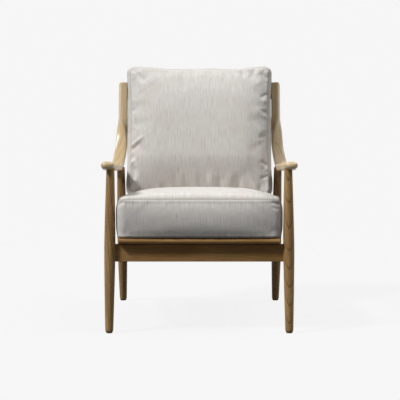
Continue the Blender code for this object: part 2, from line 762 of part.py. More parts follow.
def build_webs():
    """Elastic straps stretched from side to side over the seat frame."""
    first = SEAT_FRAME_FRONT + SEAT_FRAME_FRONT_MEMBER + WEB_WIDTH
    last = seat_frame_rear_edge() - SEAT_FRAME_MEMBER - WEB_WIDTH
    low_z = 2 * TOUCH_GAP + SEAT_FRAME_THICKNESS
    for index in range(WEB_COUNT):
        y = first + (last - first) * index / (WEB_COUNT - 1)
        half = seat_frame_half_width(y + WEB_WIDTH / 2) - WEB_END_INSET
        low = (-half, y - WEB_WIDTH / 2, low_z)
        high = (half, y + WEB_WIDTH / 2, low_z + WEB_THICKNESS)
        box("seat_web_%d" % (index + 1), low, high, WEBBING, SEAT)


def grown_box(name, low, high, parent=None):
    """A box that is larger than its piece by the touching gap, to cut a neighbour."""
    gap = Vector((TOUCH_GAP, TOUCH_GAP, TOUCH_GAP))
    return box(name, Vector(low) - gap, Vector(high) + gap, parent=parent)


def build_corner_blocks(members):
    """Glued blocks in the corners of the rails, each with a screw up into the seat frame."""
    apron_front = LEG_Y + APRON_BEHIND_LEG_AXIS - APRON_THICKNESS / 2
    apron_rear = apron_front + APRON_THICKNESS
    middle = RAIL_HEIGHT / 2
    half = RAIL_THICKNESS / 2
    rear_place = seat_leg_place(1.0, "rear", REAR_RAIL_HEIGHT / 2)
    for label, side in SIDES:
        start = seat_leg_place(side, "front", middle)
        end = seat_leg_place(side, "rear", middle)
        slope = (abs(start.x) - abs(end.x)) / (end.y - start.y)
        for which, forward in (("front", 1.0), ("rear", -1.0)):
            if which == "front":
                edge_y = apron_rear - LEG_Y
            else:
                edge_y = rear_place.y - REAR_RAIL_THICKNESS / 2
            inner = abs(start.x) - slope * (edge_y - start.y) - half
            outline = (
                (inner - BLOCK_LEG, edge_y - forward * BLOCK_OVERRUN),
                (inner - BLOCK_CLIP, edge_y - forward * BLOCK_OVERRUN),
                (inner + BLOCK_OVERRUN, edge_y + forward * BLOCK_CLIP),
                (inner + BLOCK_OVERRUN, edge_y + forward * BLOCK_LEG),
            )
            top = -BLOCK_DROP
            bottom = top - BLOCK_HEIGHT
            bm = bmesh.new()
            ring = [bm.verts.new((side * x, y, bottom)) for x, y in outline]
            face = bm.faces.new(ring)
            moved = bmesh.ops.extrude_face_region(bm, geom=[face])["geom"]
            verts = [item for item in moved if isinstance(item, bmesh.types.BMVert)]
            bmesh.ops.translate(bm, vec=(0.0, 0.0, BLOCK_HEIGHT), verts=verts)
            bmesh.ops.recalc_face_normals(bm, faces=bm.faces)
            name = which + "_" + label
            block = new_object("corner_block_" + name, bm, OAK, SEAT)
            room_low = (-half - TOUCH_GAP, -middle - TOUCH_GAP)
            room_high = (half + TOUCH_GAP, middle + TOUCH_GAP)
            room_name = "rail_room_" + name
            cut(block, oriented_box(room_name, start, end, room_low, room_high, parent=SEAT))
            if which == "front":
                low = (-FRONT_LEG_TOP_X, apron_front, APRON_TOP - 2 * APRON_HEIGHT)
                high = (FRONT_LEG_TOP_X, apron_rear, APRON_TOP + APRON_HEIGHT)
                cut(block, grown_box("apron_room_" + name, low, high))
            else:
                low = (-FRONT_LEG_TOP_X, edge_y, -2 * REAR_RAIL_HEIGHT)
                high = (FRONT_LEG_TOP_X, edge_y + REAR_RAIL_THICKNESS, REAR_RAIL_HEIGHT)
                cut(block, grown_box("rear_rail_room_" + name, low, high, SEAT))
            cut(block, leg("leg_room_" + name, side, which, grow=TOUCH_GAP))
            x = side * (inner - SCREW_FROM_RAIL)
            y = edge_y + forward * SCREW_FROM_END
            head_top = bottom - TOUCH_GAP
            profile = (
                (SCREW_RADIUS, TOUCH_GAP + SCREW_INTO_FRAME),
                (SCREW_RADIUS, head_top),
                (SCREW_HEAD_RADIUS, head_top),
                (SCREW_HEAD_END_RADIUS, head_top - SCREW_HEAD_HEIGHT),
            )
            base, over = (x, y, 0.0), (x, y, 1.0)
            turned("seat_frame_screw_" + name, profile, base, over, STEEL, SEAT, SCREW_SIDES)
            hole_low = (x, y, bottom - SCREW_HOLE_BELOW_BLOCK)
            hole_high = (x, y, TOUCH_GAP + SCREW_INTO_FRAME + SCREW_CLEARANCE)
            radius = SCREW_RADIUS + SCREW_CLEARANCE
            for target in (block, members[label]):
                hole_name = "screw_hole_" + target.name + "_" + name
                cut(target, rod(hole_name, hole_low, hole_high, radius, None, SEAT, SCREW_SIDES))


def back_origin():
    """Where the slats' middle plane passes the lower back rail's height."""
    high = PATH.high
    forward = Vector((-high.y, high.x))
    run = (PATH.top.y + forward.y * BACK_FRAME_FORWARD - LOWER_BACK_RAIL_HEIGHT) / high.y
    point = PATH.top - high * run + forward * BACK_FRAME_FORWARD
    return Vector((0.0, point.x, point.y)), run


BACK_ORIGIN, POST_TOP_ABOVE_BACK_ORIGIN = back_origin()
BACK = new_frame("back_plane", BACK_ORIGIN, BACK_RECLINE_ANGLE)
BACK_TURN = Matrix.Rotation(-BACK_RECLINE_ANGLE, 3, "X")


def build_back_frame(pieces):
    """Two back rails with six upright slats housed in them."""
    half_y = BACK_RAIL_THICKNESS / 2
    half_z = BACK_RAIL_WIDTH / 2
    top_z = POST_TOP_ABOVE_BACK_ORIGIN - BACK_TOP_RAIL_BELOW_TOP
    fit = Vector((TENON_FIT, TENON_FIT, TENON_FIT))
    lower_reach = leg_axis_at(1.0, "rear", LOWER_BACK_RAIL_HEIGHT).x
    upper_reach = POST_TOP_X
    rails = []
    for name, z, reach, shoulder in (
        ("back_lower_rail", 0.0, lower_reach, LOWER_BACK_TENON_SHOULDER),
        ("back_top_rail", top_z, upper_reach, TENON_SHOULDER),
    ):
        box_end = reach - TENON_THICKNESS
        rail_low = (-box_end, -half_y, z - half_z)
        rail_high = (box_end, half_y, z + half_z)
        rail = box(name, rail_low, rail_high, OAK, BACK, RAIL_EDGE)
        for label, side in SIDES:
            if name == "back_lower_rail":
                cut(rail, leg("back_scribe_" + label, side, "rear", grow=TOUCH_GAP))
                host = pieces["rear_leg_" + label]
                tip = reach - APRON_TENON_TIP_INSIDE
            else:
                cut(rail, arm("post_scribe_" + label, side, grow=TOUCH_GAP))
                host = pieces["arm_" + label]
                tip = reach - RAIL_TENON_TIP_INSIDE
            limits = sorted((side * (box_end - BACK_TENON_ROOT), side * tip))
            low = Vector((limits[0], -TENON_THICKNESS / 2, z - half_z + shoulder))
            high = Vector((limits[1], TENON_THICKNESS / 2, z + half_z - shoulder))
            join(rail, box(name + "_tenon_" + label, low, high, parent=BACK))
            cut(host, box(name + "_mortise_" + label, low - fit, high + fit, parent=BACK))
        rails.append(rail)
    low_z = half_z - SLAT_TENON
    high_z = top_z - half_z + SLAT_TENON
    for index in range(SLAT_COUNT):
        x = (index - (SLAT_COUNT - 1) / 2) * SLAT_PITCH
        low = Vector((x - SLAT_WIDTH / 2, -SLAT_THICKNESS / 2, low_z))
        high = Vector((x + SLAT_WIDTH / 2, SLAT_THICKNESS / 2, high_z))
        name = "back_slat_%d" % (index + 1)
        box(name, low, high, OAK, BACK, SLAT_EDGE)
        for rail in rails:
            cut(rail, box(name + "_housing_" + rail.name, low - fit, high + fit, parent=BACK))


def crown(share, power, fall):
    """How full a cushion is along one direction of its face: 0 at the seams, 1 in the middle."""
    return max(1.0 - abs(share) ** power, 0.0) ** fall


def cushion(name, shape, parent):
    """A cushion: a coarse cage, denser towards its seams, shaped by a function and smoothed."""
    bm = bmesh.new()
    bmesh.ops.create_cube(bm, size=2.0)
    bmesh.ops.subdivide_edges(bm, edges=bm.edges, cuts=CUSHION_CUTS, use_grid_fill=True)
    for vert in bm.verts:
        spread = [math.sin(value * math.pi / 2) for value in vert.co]
        vert.co = shape(*spread)
    bm.normal_update()
    bmesh.ops.recalc_face_normals(bm, faces=bm.faces)
    obj = new_object(name, bm, LINEN, parent)
    obj.data.shade_smooth()
    subdivision = obj.modifiers.new("soft_form", "SUBSURF")
    subdivision.levels = 1
    subdivision.render_levels = 1
    return obj


def seat_cushion_rear():
    """The seat cushion reaches back to the lower back rail."""
    edge = Vector((0.0, -BACK_RAIL_THICKNESS / 2, -BACK_RAIL_WIDTH / 2))
    place = BACK_ORIGIN + BACK_TURN @ edge - SEAT_ORIGIN
    return (SEAT_TURN.transposed() @ place).y - TOUCH_GAP


def seat_cushion_shape(u, v, w):
    """Boxed and crowned: u across, v from front to rear, w from bottom to top, each -1 to 1."""
    half = SEAT_CUSHION_HALF_WIDTH - SEAT_CUSHION_DRAWN_IN * (1.0 - v * v)
    half -= SEAT_CUSHION_SEAM_INSET * w ** SEAM_POWER
    rear = seat_cushion_rear()
    middle = (SEAT_CUSHION_FRONT + rear) / 2
    half_depth = (rear - SEAT_CUSHION_FRONT) / 2
    bulge = SEAT_CUSHION_FRONT_BULGE * (1.0 - w * w) * (1.0 - u * u) + SEAT_CUSHION_FRONT_LEAN * w
    y = middle + half_depth * v - bulge * max(-v, 0.0) ** SEAT_CUSHION_BULGE_POWER
    z = SEAT_CUSHION_BOTTOM + SEAT_CUSHION_THICKNESS * (w + 1.0) / 2
    if w >= 1.0:
        full = SEAT_CUSHION_CROWN * crown(u, CROWN_POWER, CROWN_FALL_POWER)
        full *= crown(v, CROWN_POWER, CROWN_FALL_POWER)
        rest_start = SEAT_CUSHION_REST_FROM - SEAT_CUSHION_REST_RUN
        rest = smooth(y, rest_start, SEAT_CUSHION_REST_FROM)
        z += full + (min(full, SEAT_CUSHION_REST_CROWN) - full) * rest
    return Vector((u * half, y, z))


def back_cushion_shape(u, v, w):
    """Boxed and crowned: u across, v from the back face forward, w from bottom to top."""
    forward = BACK_RAIL_THICKNESS / 2 + TOUCH_GAP + BACK_CUSHION_THICKNESS * (v + 1.0) / 2
    if v >= 1.0:
        full = BACK_CUSHION_CROWN * crown(u, CROWN_POWER, CROWN_FALL_POWER)
        forward += full * crown(w, BACK_CUSHION_UPRIGHT_POWER, BACK_CUSHION_UPRIGHT_FALL)
    half = BACK_CUSHION_HALF_WIDTH - BACK_CUSHION_DRAWN_IN * (1.0 - w * w)
    half -= BACK_CUSHION_SEAM_INSET * v ** SEAM_POWER
    seat_normal = SEAT_TURN @ Vector((0.0, 0.0, 1.0))
    seat_top = SEAT_CUSHION_BOTTOM + SEAT_CUSHION_THICKNESS + SEAT_CUSHION_REST_CROWN
    level = seat_top + BACK_CUSHION_ABOVE_SEAT
    start = BACK_ORIGIN + BACK_TURN @ Vector((0.0, -forward, 0.0))
    up = BACK_TURN @ Vector((0.0, 0.0, 1.0))
    bottom = (level - (start - SEAT_ORIGIN).dot(seat_normal)) / up.dot(seat_normal)
    bottom += BACK_CUSHION_LOWER_EDGE_LIFT * smooth(v, BACK_CUSHION_LIFT_SHARE, 1.0)
    top = BACK_CUSHION_TOP + BACK_CUSHION_EAR * abs(u) ** BACK_CUSHION_EAR_POWER
    return Vector((u * half, -forward, bottom + (top - bottom) * (w + 1.0) / 2))


def build_chair():
    """Build every piece, each on what carries it."""
    pieces = build_arms_and_legs()
    build_front_apron(pieces)
    build_side_rails(pieces)
    build_rear_rail(pieces)
    members = build_seat_frame()
    build_webs()
    build_corner_blocks(members)
    build_back_frame(pieces)
    cushion("seat_cushion", seat_cushion_shape, SEAT)
    cushion("back_cushion", back_cushion_shape, BACK)


build_chair()
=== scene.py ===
# %% [markdown]
# This file dresses an occasional chair: an oak frame with swept arms and two loose linen cushions.
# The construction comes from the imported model, which is loaded first and stays where it is.
# Everything that is added here only improves how it looks, and rides on the body that carries it.

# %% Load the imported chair
import math

import bmesh
import bpy
import numpy as np
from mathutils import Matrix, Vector


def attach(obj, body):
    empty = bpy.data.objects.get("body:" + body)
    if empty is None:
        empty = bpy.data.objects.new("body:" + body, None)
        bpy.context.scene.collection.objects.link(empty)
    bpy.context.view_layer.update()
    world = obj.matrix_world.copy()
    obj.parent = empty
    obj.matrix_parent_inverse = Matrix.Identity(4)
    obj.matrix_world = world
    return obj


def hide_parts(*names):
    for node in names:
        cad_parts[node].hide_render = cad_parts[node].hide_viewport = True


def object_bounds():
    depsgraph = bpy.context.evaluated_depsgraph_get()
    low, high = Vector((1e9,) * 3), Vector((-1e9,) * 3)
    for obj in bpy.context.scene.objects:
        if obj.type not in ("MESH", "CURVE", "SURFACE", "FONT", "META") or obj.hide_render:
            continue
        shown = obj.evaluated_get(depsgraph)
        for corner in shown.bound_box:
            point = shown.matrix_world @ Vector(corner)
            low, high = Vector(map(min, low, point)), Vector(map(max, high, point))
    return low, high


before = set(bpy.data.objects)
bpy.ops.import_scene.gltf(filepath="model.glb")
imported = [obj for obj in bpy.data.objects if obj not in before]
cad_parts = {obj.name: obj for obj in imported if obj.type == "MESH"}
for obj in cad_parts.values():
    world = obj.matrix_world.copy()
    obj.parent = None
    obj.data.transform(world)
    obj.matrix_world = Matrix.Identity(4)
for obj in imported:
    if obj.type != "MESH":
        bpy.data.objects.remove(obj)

solid_low, solid_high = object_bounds()
solid_size = solid_high - solid_low
print("The solids measure %.3f x %.3f x %.3f m" % tuple(solid_size))

# %% [markdown]
# A colour is written as an sRGB value, and a shader wants a linear one. One function turns
# the usual six-digit code into linear numbers, so that every finish below can be read as a colour.

# %% Colours
def linear(code):
    """Linear red, green, blue and alpha of an sRGB code: ((s + 0.055) / 1.055) to the power 2.4."""
    parts = np.array([int(code[i:i + 2], 16) for i in (1, 3, 5)]) / 255.0
    curve = np.where(parts <= 0.04045, parts / 12.92, ((parts + 0.055) / 1.055) ** 2.4)
    return (*curve.tolist(), 1.0)


BACKGROUND = "#F6F6F6"
print("The background is", [round(value, 3) for value in linear(BACKGROUND)])

# %% [markdown]
# Shader nodes are added by one small function. It makes a node, gives it its settings, and fills
# its sockets: a socket of another node is linked, and anything else is written as a value.

# %% Shader nodes
def add_node(tree, kind, sockets=None, **settings):
    """Add a shader node with its settings, and link or fill its sockets."""
    made = tree.nodes.new("ShaderNode" + kind)
    for name, value in settings.items():
        setattr(made, name, value)
    for key, value in (sockets or {}).items():
        if isinstance(value, bpy.types.NodeSocket):
            tree.links.new(value, made.inputs[key])
        else:
            made.inputs[key].default_value = value
    return made


def new_finish(name):
    """A new material, with its node tree and the Principled BSDF that shades it."""
    material = bpy.data.materials.new(name)
    material.use_nodes = True
    return material, material.node_tree, material.node_tree.nodes["Principled BSDF"]


print("Nodes are added by %s, and a finish starts with %s"
      % (add_node.__name__, new_finish.__name__))

# %% [markdown]
# The camera stands where the photographer stood. Its height, distance and lens were worked out from
# the four feet and the width over the arms: a long lens six metres away, looking a little down.

# %% Camera
PICTURE_SIDE = 400
FRONT_LEG_Y = -0.353
CAMERA_BEFORE_LEGS = 6.0855
CAMERA_HEIGHT = 1.1612
CAMERA_X = 0.00245
CAMERA_PITCH = math.radians(6.427)
FOCAL_PIXELS = 1735.5
SENSOR_MM = 36.0

camera_data = bpy.data.cameras.new("camera")
camera_data.sensor_width = SENSOR_MM
camera_data.lens = FOCAL_PIXELS * SENSOR_MM / PICTURE_SIDE
camera = bpy.data.objects.new("camera", camera_data)
camera.location = (CAMERA_X, FRONT_LEG_Y - CAMERA_BEFORE_LEGS, CAMERA_HEIGHT)
camera.rotation_euler = (math.pi / 2 - CAMERA_PITCH, 0.0, 0.0)
bpy.context.scene.collection.objects.link(camera)
bpy.context.scene.camera = camera
bpy.context.scene.view_settings.view_transform = "Standard"
print("The lens is %.1f mm" % camera_data.lens)

# %% [markdown]
# A studio photograph has one large lamp and a little light from everywhere else. The key lamp
# stands high on the left and in front. It gives the bright arms, and the shadow of the seat's lip
# on the apron. A weaker and broader lamp on the right keeps that side from going grey. Both are
# suns, because a sun lights the whole chair alike. The world gives the soft light, and it is
# brighter above than below, as it is in a room with a white ceiling.

# %% Light
# Each lamp: the direction it shines from, its strength, and how wide it looks from the chair.
LAMPS = {
    "key_lamp": ((-0.80, -0.43, 1.0), 3.25, math.radians(10.0)),
    "fill_lamp": ((0.70, 0.0, 1.0), 1.35, math.radians(30.0)),
}
WORLD_BELOW, WORLD_ABOVE = 0.02, 0.34
WORLD_FROM, WORLD_TO = 0.15, 1.00    # how far up a direction points where the light starts and ends


def rays_that_see_background(tree):
    """1 for a ray from the camera, or one a surface mirrors or lets through, and 0 for light."""
    path = add_node(tree, "LightPath")
    mirrored = add_node(tree, "Math", {
        0: path.outputs["Is Glossy Ray"], 1: path.outputs["Is Transmission Ray"],
    }, operation="MAXIMUM")
    return add_node(tree, "Math", {
        0: path.outputs["Is Camera Ray"], 1: mirrored.outputs[0],
    }, operation="MAXIMUM").outputs[0]


for name, (towards, strength, angle) in LAMPS.items():
    lamp = bpy.data.lights.new(name, "SUN")
    lamp.energy = strength
    lamp.angle = angle
    holder = bpy.data.objects.new(name, lamp)
    holder.rotation_mode = "QUATERNION"
    holder.rotation_quaternion = Vector(towards).to_track_quat("Z", "Y")
    bpy.context.scene.collection.objects.link(holder)

world = bpy.data.worlds.new("studio")
bpy.context.scene.world = world
world.use_nodes = True
tree = world.node_tree
direction = add_node(tree, "TexCoord")
split = add_node(tree, "SeparateXYZ", {0: direction.outputs["Generated"]})
level = add_node(tree, "MapRange", {
    "Value": split.outputs["Z"], "From Min": WORLD_FROM, "From Max": WORLD_TO,
    "To Min": WORLD_BELOW, "To Max": WORLD_ABOVE,
}, interpolation_type="SMOOTHSTEP")
seen = tree.nodes["Background"]
seen.inputs["Color"].default_value = linear(BACKGROUND)
room = add_node(tree, "Background", {"Color": linear("#FFFFFF"), "Strength": level.outputs[0]})
chosen = add_node(tree, "MixShader", {
    0: rays_that_see_background(tree), 1: room.outputs[0], 2: seen.outputs[0],
})
tree.links.new(chosen.outputs[0], tree.nodes["World Output"].inputs["Surface"])
print("%d lamps and a soft room are set" % len(LAMPS))

# %% [markdown]
# The floor is one large pale disc. The camera sees it at the background's colour, so that no
# horizon shows, and near the chair a small share of it is lit paint, which keeps the chair's own
# soft shadow. Light that bounces off it is kept low, because the photograph shows the undersides
# of the cushions and rails in deep shade.

# %% Floor
FLOOR_RADIUS, FLOOR_SIDES = 30.0, 96
FLOOR_BELOW_GLIDES = 0.0005
FLOOR_BOUNCE = "#2A2A2A"
FLOOR_LIT = "#E6E6E6"
FLOOR_LIT_SHARE = 0.06
LIT_NEAR, LIT_FAR = 0.9, 2.6

mesh = bpy.data.meshes.new("floor")
bm = bmesh.new()
bmesh.ops.create_circle(bm, cap_ends=True, segments=FLOOR_SIDES, radius=FLOOR_RADIUS)
bm.to_mesh(mesh)
bm.free()
floor = bpy.data.objects.new("floor", mesh)
floor.location.z = -FLOOR_BELOW_GLIDES
bpy.context.scene.collection.objects.link(floor)

# Matt wall paint, rolled on: no shine at all, so that nothing of the chair is mirrored in it.
paint, tree, shader = new_finish("painted_studio_floor")
shader.inputs["Base Color"].default_value = linear(FLOOR_BOUNCE)
shader.inputs["Roughness"].default_value = 0.9
place = add_node(tree, "TexCoord").outputs["Object"]
away = add_node(tree, "VectorMath", {0: place}, operation="LENGTH")
lit_share = add_node(tree, "MapRange", {
    "Value": away.outputs["Value"], "From Min": LIT_NEAR, "From Max": LIT_FAR,
    "To Min": FLOOR_LIT_SHARE, "To Max": 0.0,
}, interpolation_type="SMOOTHSTEP")
lit = add_node(tree, "BsdfDiffuse", {"Color": linear(FLOOR_LIT)})
glow = add_node(tree, "Emission", {"Color": linear(BACKGROUND)})
pale = add_node(tree, "MixShader", {0: lit_share.outputs[0], 1: glow.outputs[0], 2: lit.outputs[0]})
floor_look = add_node(tree, "MixShader", {
    0: rays_that_see_background(tree), 1: shader.outputs[0], 2: pale.outputs[0],
})
tree.links.new(floor_look.outputs[0], tree.nodes["Material Output"].inputs["Surface"])
mesh.materials.append(paint)
print("The floor is %.0f m wide" % (2 * FLOOR_RADIUS))

# %% [markdown]
# Oak is a ring-porous wood. Each year's growth starts with a band of open pores, which takes the
# oil darker, and ends in dense pale wood. Where a board or a turned leg cuts slantwise through the
# rings, they show as nested arches. A picture wrapped round the piece could not do that at its
# edges, so the wood is a solid pattern: rings round a pith that lies beside the piece, tilted a
# little to it. The pattern reads a place in metres whose Y runs along the grain.

# %% Year rings
RING_BEND = 0.010          # how far slow noise pushes the rings about, in metres
EARLY_WOOD_ENDS, LATE_WOOD_STARTS = 0.17, 0.95      # as shares of one year's growth


def year_rings(tree, place, patch, board):
    """1 where a ring's open pores start, falling to 0 in its dense wood.

    The number of rings passed is sqrt(x^2 + (z + tilt * y)^2) / width, with the pith along y, and
    its fraction is the share of the year.
    """
    bent = add_node(tree, "VectorMath", {
        0: patch.outputs["Color"], 1: (RING_BEND, 0.0, RING_BEND),
    }, operation="MULTIPLY")
    placed = add_node(tree, "VectorMath", {0: place, 1: bent.outputs[0]}, operation="ADD")
    parts = add_node(tree, "SeparateXYZ", {0: placed.outputs[0]})
    depth = add_node(tree, "Math", {
        0: parts.outputs["Y"], 1: board["ring_tilt"], 2: parts.outputs["Z"],
    }, operation="MULTIPLY_ADD")
    flat = add_node(tree, "CombineXYZ", {"X": parts.outputs["X"], "Z": depth.outputs[0]})
    radius = add_node(tree, "VectorMath", {0: flat.outputs[0]}, operation="LENGTH")
    turns = add_node(tree, "Math", {
        0: radius.outputs["Value"], 1: board["ring_width"],
    }, operation="DIVIDE")
    year = add_node(tree, "Math", {0: turns.outputs[0]}, operation="FRACT")
    early = add_node(tree, "MapRange", {
        "Value": year.outputs[0], "From Min": 0.0, "From Max": EARLY_WOOD_ENDS,
        "To Min": 1.0, "To Max": 0.0,
    })
    late = add_node(tree, "MapRange", {
        "Value": year.outputs[0], "From Min": LATE_WOOD_STARTS, "From Max": 1.0,
        "To Min": 0.0, "To Max": 1.0,
    })
    return add_node(tree, "Math", {
        0: early.outputs[0], 1: late.outputs[0],
    }, operation="MAXIMUM").outputs[0]


print("A ring's pores take up %.0f %% of its width" % (100 * EARLY_WOOD_ENDS))

# %% [markdown]
# Between its rings oak is drawn out along the grain: slow patches of lighter and darker wood, fine
# fibres, and pores like short dark scratches. Each is noise read at places divided by a width
# across the grain and by a length along it, so that its blobs become streaks of that size.

# %% Patches, fibres and pores
# Each streak: its width and its length in metres, and its octaves of detail.
OAK_STREAKS = {
    "patch": (0.040, 0.220, 3.0),
    "fibre": (0.0016, 0.060, 4.0),
    "pore": (0.0009, 0.009, 1.0),      # real pores are 0.3 mm wide; drawn three times as wide
}


def drawn_out(tree, place, streaks):
    """A noise for each row of streaks: noise(x / width, y / length, z / width)."""
    made = {}
    for name, (width, length, detail) in streaks.items():
        stretched = add_node(tree, "VectorMath", {
            0: place, 1: (1 / width, 1 / length, 1 / width),
        }, operation="MULTIPLY")
        made[name] = add_node(tree, "TexNoise", {
            "Vector": stretched.outputs[0], "Scale": 1.0, "Detail": detail,
        })
    return made


print("Oak has", ", ".join("%s streaks of %.1f mm" % (name, 1000 * row[0])
                           for name, row in OAK_STREAKS.items()))

# %% [markdown]
# One board of oak is not like the next, and three are used. The arms are pale, and rubbed by hand
# with many coats of oil, so a soft gleam runs along their edges. The legs are turned from a board
# with strong rings. The rails are browner and matt. Real rings are 2 to 4 mm wide. They are drawn
# 4 to 12 mm wide, because finer ones blur at this size and a leg cuts them at a low angle.

# %% Three boards
ARM_BOARD = {
    "light": "#D7C39C", "mid": "#C2A87C", "ring": "#8F7046", "fibre": "#A08053",
    "ring_width": 0.0042, "ring_tilt": 0.030, "ring_share": 0.45,
    "gloss": 0.50, "roughness": (0.32, 0.48), "coat": 0.65,
}
LEG_BOARD = {
    "light": "#B09061", "mid": "#98764B", "ring": "#3F2714", "fibre": "#795937",
    "ring_width": 0.0115, "ring_tilt": 0.155, "ring_share": 0.75,
    "gloss": 0.25, "roughness": (0.48, 0.66), "coat": 0.0,
}
RAIL_BOARD = {
    "light": "#AC8654", "mid": "#8C693B", "ring": "#55381C", "fibre": "#6F502C",
    "ring_width": 0.0060, "ring_tilt": 0.040, "ring_share": 0.55,
    "gloss": 0.20, "roughness": (0.52, 0.70), "coat": 0.0,
}
for board, title in ((ARM_BOARD, "arms"), (LEG_BOARD, "legs"), (RAIL_BOARD, "rails")):
    print("The rings of the %s are %.1f mm wide" % (title, board["ring_width"] * 1000))

# %% [markdown]
# The finish is built up as the eye sees it: light and mid wood in patches, darker rings, fibres and
# pores over them, and a shallow relief where the grain was brushed open. A swept or turned piece
# carries its place in the wood as an attribute, so that the grain follows its shape. A straight
# piece reads its object coordinates, turned by a Mapping node so that the grain runs along it.

# %% The oak finish
OAK_PORE = "#4A3016"
OAK_IOR = 1.5
OAK_COAT_ROUGHNESS = 0.30
PATCH_FROM, PATCH_TO = 0.35, 0.65      # the noise levels between which a layer comes in
FIBRE_FROM, FIBRE_TO, FIBRE_SHARE = 0.42, 0.72, 0.55
PORE_FROM, PORE_TO, PORE_SHARE = 0.60, 0.70, 0.65
PORES_BETWEEN_RINGS = 0.3
PORE_DEPTH = 0.8                       # against the fibres' relief
GRAIN_STRENGTH, GRAIN_HEIGHT = 0.35, 0.0006


def oak_finish(name, board, along=None, origin=(0.0, 0.0, 0.0)):
    """Oiled oak. With a direction it reads object coordinates, without it the grain attribute."""
    material, tree, shader = new_finish(name)
    if along is None:
        place = add_node(tree, "Attribute", attribute_name="grain").outputs["Vector"]
    else:
        turn = Vector(along).rotation_difference(Vector((0.0, 1.0, 0.0))).to_euler()
        place = add_node(tree, "Mapping", {
            "Vector": add_node(tree, "TexCoord").outputs["Object"],
            "Rotation": turn, "Location": origin,
        }).outputs[0]
    streaks = drawn_out(tree, place, OAK_STREAKS)
    patch, fibre = streaks["patch"], streaks["fibre"]
    ring = year_rings(tree, place, patch, board)

    tone = add_node(tree, "MapRange", {
        "Value": patch.outputs["Fac"], "From Min": PATCH_FROM, "From Max": PATCH_TO,
    })
    ring_share = add_node(tree, "Math", {0: ring, 1: board["ring_share"]}, operation="MULTIPLY")
    streak = add_node(tree, "MapRange", {
        "Value": fibre.outputs["Fac"], "From Min": FIBRE_FROM, "From Max": FIBRE_TO,
        "To Max": FIBRE_SHARE,
    })
    open_pore = add_node(tree, "MapRange", {
        "Value": streaks["pore"].outputs["Fac"], "From Min": PORE_FROM, "From Max": PORE_TO,
    })
    in_ring = add_node(tree, "Math", {
        0: ring, 1: 1.0 - PORES_BETWEEN_RINGS, 2: PORES_BETWEEN_RINGS,
    }, operation="MULTIPLY_ADD")
    pore = add_node(tree, "Math", {
        0: open_pore.outputs[0], 1: in_ring.outputs[0],
    }, operation="MULTIPLY")
    pore_share = add_node(tree, "Math", {0: pore.outputs[0], 1: PORE_SHARE}, operation="MULTIPLY")

    colour = linear(board["light"])
    for share, over in ((tone, board["mid"]), (ring_share, board["ring"]),
                        (streak, board["fibre"]), (pore_share, OAK_PORE)):
        colour = add_node(tree, "Mix", {
            0: share.outputs[0], 6: colour, 7: linear(over),
        }, data_type="RGBA").outputs[2]
    tree.links.new(colour, shader.inputs["Base Color"])
    rough = add_node(tree, "MapRange", {
        "Value": fibre.outputs["Fac"],
        "To Min": board["roughness"][0], "To Max": board["roughness"][1],
    })
    tree.links.new(rough.outputs[0], shader.inputs["Roughness"])
    relief = add_node(tree, "Math", {
        0: pore.outputs[0], 1: -PORE_DEPTH, 2: fibre.outputs["Fac"],
    }, operation="MULTIPLY_ADD")
    bump = add_node(tree, "Bump", {
        "Height": relief.outputs[0], "Strength": GRAIN_STRENGTH, "Distance": GRAIN_HEIGHT,
    })
    tree.links.new(bump.outputs[0], shader.inputs["Normal"])
    shader.inputs["IOR"].default_value = OAK_IOR
    shader.inputs["Specular IOR Level"].default_value = board["gloss"]
    shader.inputs["Coat Weight"].default_value = board["coat"]
    shader.inputs["Coat Roughness"].default_value = OAK_COAT_ROUGHNESS
    return material


# Rubbed to a satin gleam on the arms; oiled and left matt on the legs.
arm_oak = oak_finish("hand_rubbed_oak", ARM_BOARD)
leg_oak = oak_finish("oiled_turned_oak", LEG_BOARD)
print("The arms' oak has %d nodes" % len(arm_oak.node_tree.nodes))

# %% [markdown]
# Each straight piece of the frame keeps its solid and gets oak whose grain runs along it. The real
# pieces are cut from different parts of a board, so each reads another place of the pattern. With
# one place for all, the same ring would run on from piece to piece, as it never does.

# %% Oak on the straight pieces
SEAT_RAKE = math.radians(8.5)
BACK_RECLINE = math.radians(17.0)
ACROSS = (1.0, 0.0, 0.0)
ALONG_SEAT = (0.0, math.cos(SEAT_RAKE), -math.sin(SEAT_RAKE))
UP_BACK = (0.0, math.sin(BACK_RECLINE), math.cos(BACK_RECLINE))
SLAT_COUNT = 6
STRAIGHT_PIECES = {
    "front_apron": ACROSS, "seat_frame_front": ACROSS, "seat_frame_rear": ACROSS,
    "rear_rail": ACROSS, "back_lower_rail": ACROSS, "back_top_rail": ACROSS,
    "side_rail_left": ALONG_SEAT, "side_rail_right": ALONG_SEAT,
    "seat_frame_left": ALONG_SEAT, "seat_frame_right": ALONG_SEAT,
}
for corner in ("front_left", "front_right", "rear_left", "rear_right"):
    STRAIGHT_PIECES["corner_block_" + corner] = ACROSS
for number in range(1, SLAT_COUNT + 1):
    STRAIGHT_PIECES["back_slat_%d" % number] = UP_BACK
NEAREST_CUT, FARTHEST_CUT = (-0.06, -0.4, 0.03), (0.06, 0.4, 0.09)


def dress(solid, finish):
    """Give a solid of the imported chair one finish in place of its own."""
    solid.data.materials.clear()
    solid.data.materials.append(finish)


rng = np.random.default_rng(7)
for name, along in STRAIGHT_PIECES.items():
    origin = rng.uniform(NEAREST_CUT, FARTHEST_CUT)
    dress(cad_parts[name], oak_finish("oiled_oak_" + name, RAIL_BOARD, along, origin.tolist()))
print("%d straight pieces have oak" % len(STRAIGHT_PIECES))

# %% [markdown]
# A curved piece is worked out as a surface: a grid of points with one direction running round the
# piece and the other along it. One helper turns such a grid into a closed mesh. It joins the last
# column to the first, closes each end with a point, and stores each point's place in the wood.

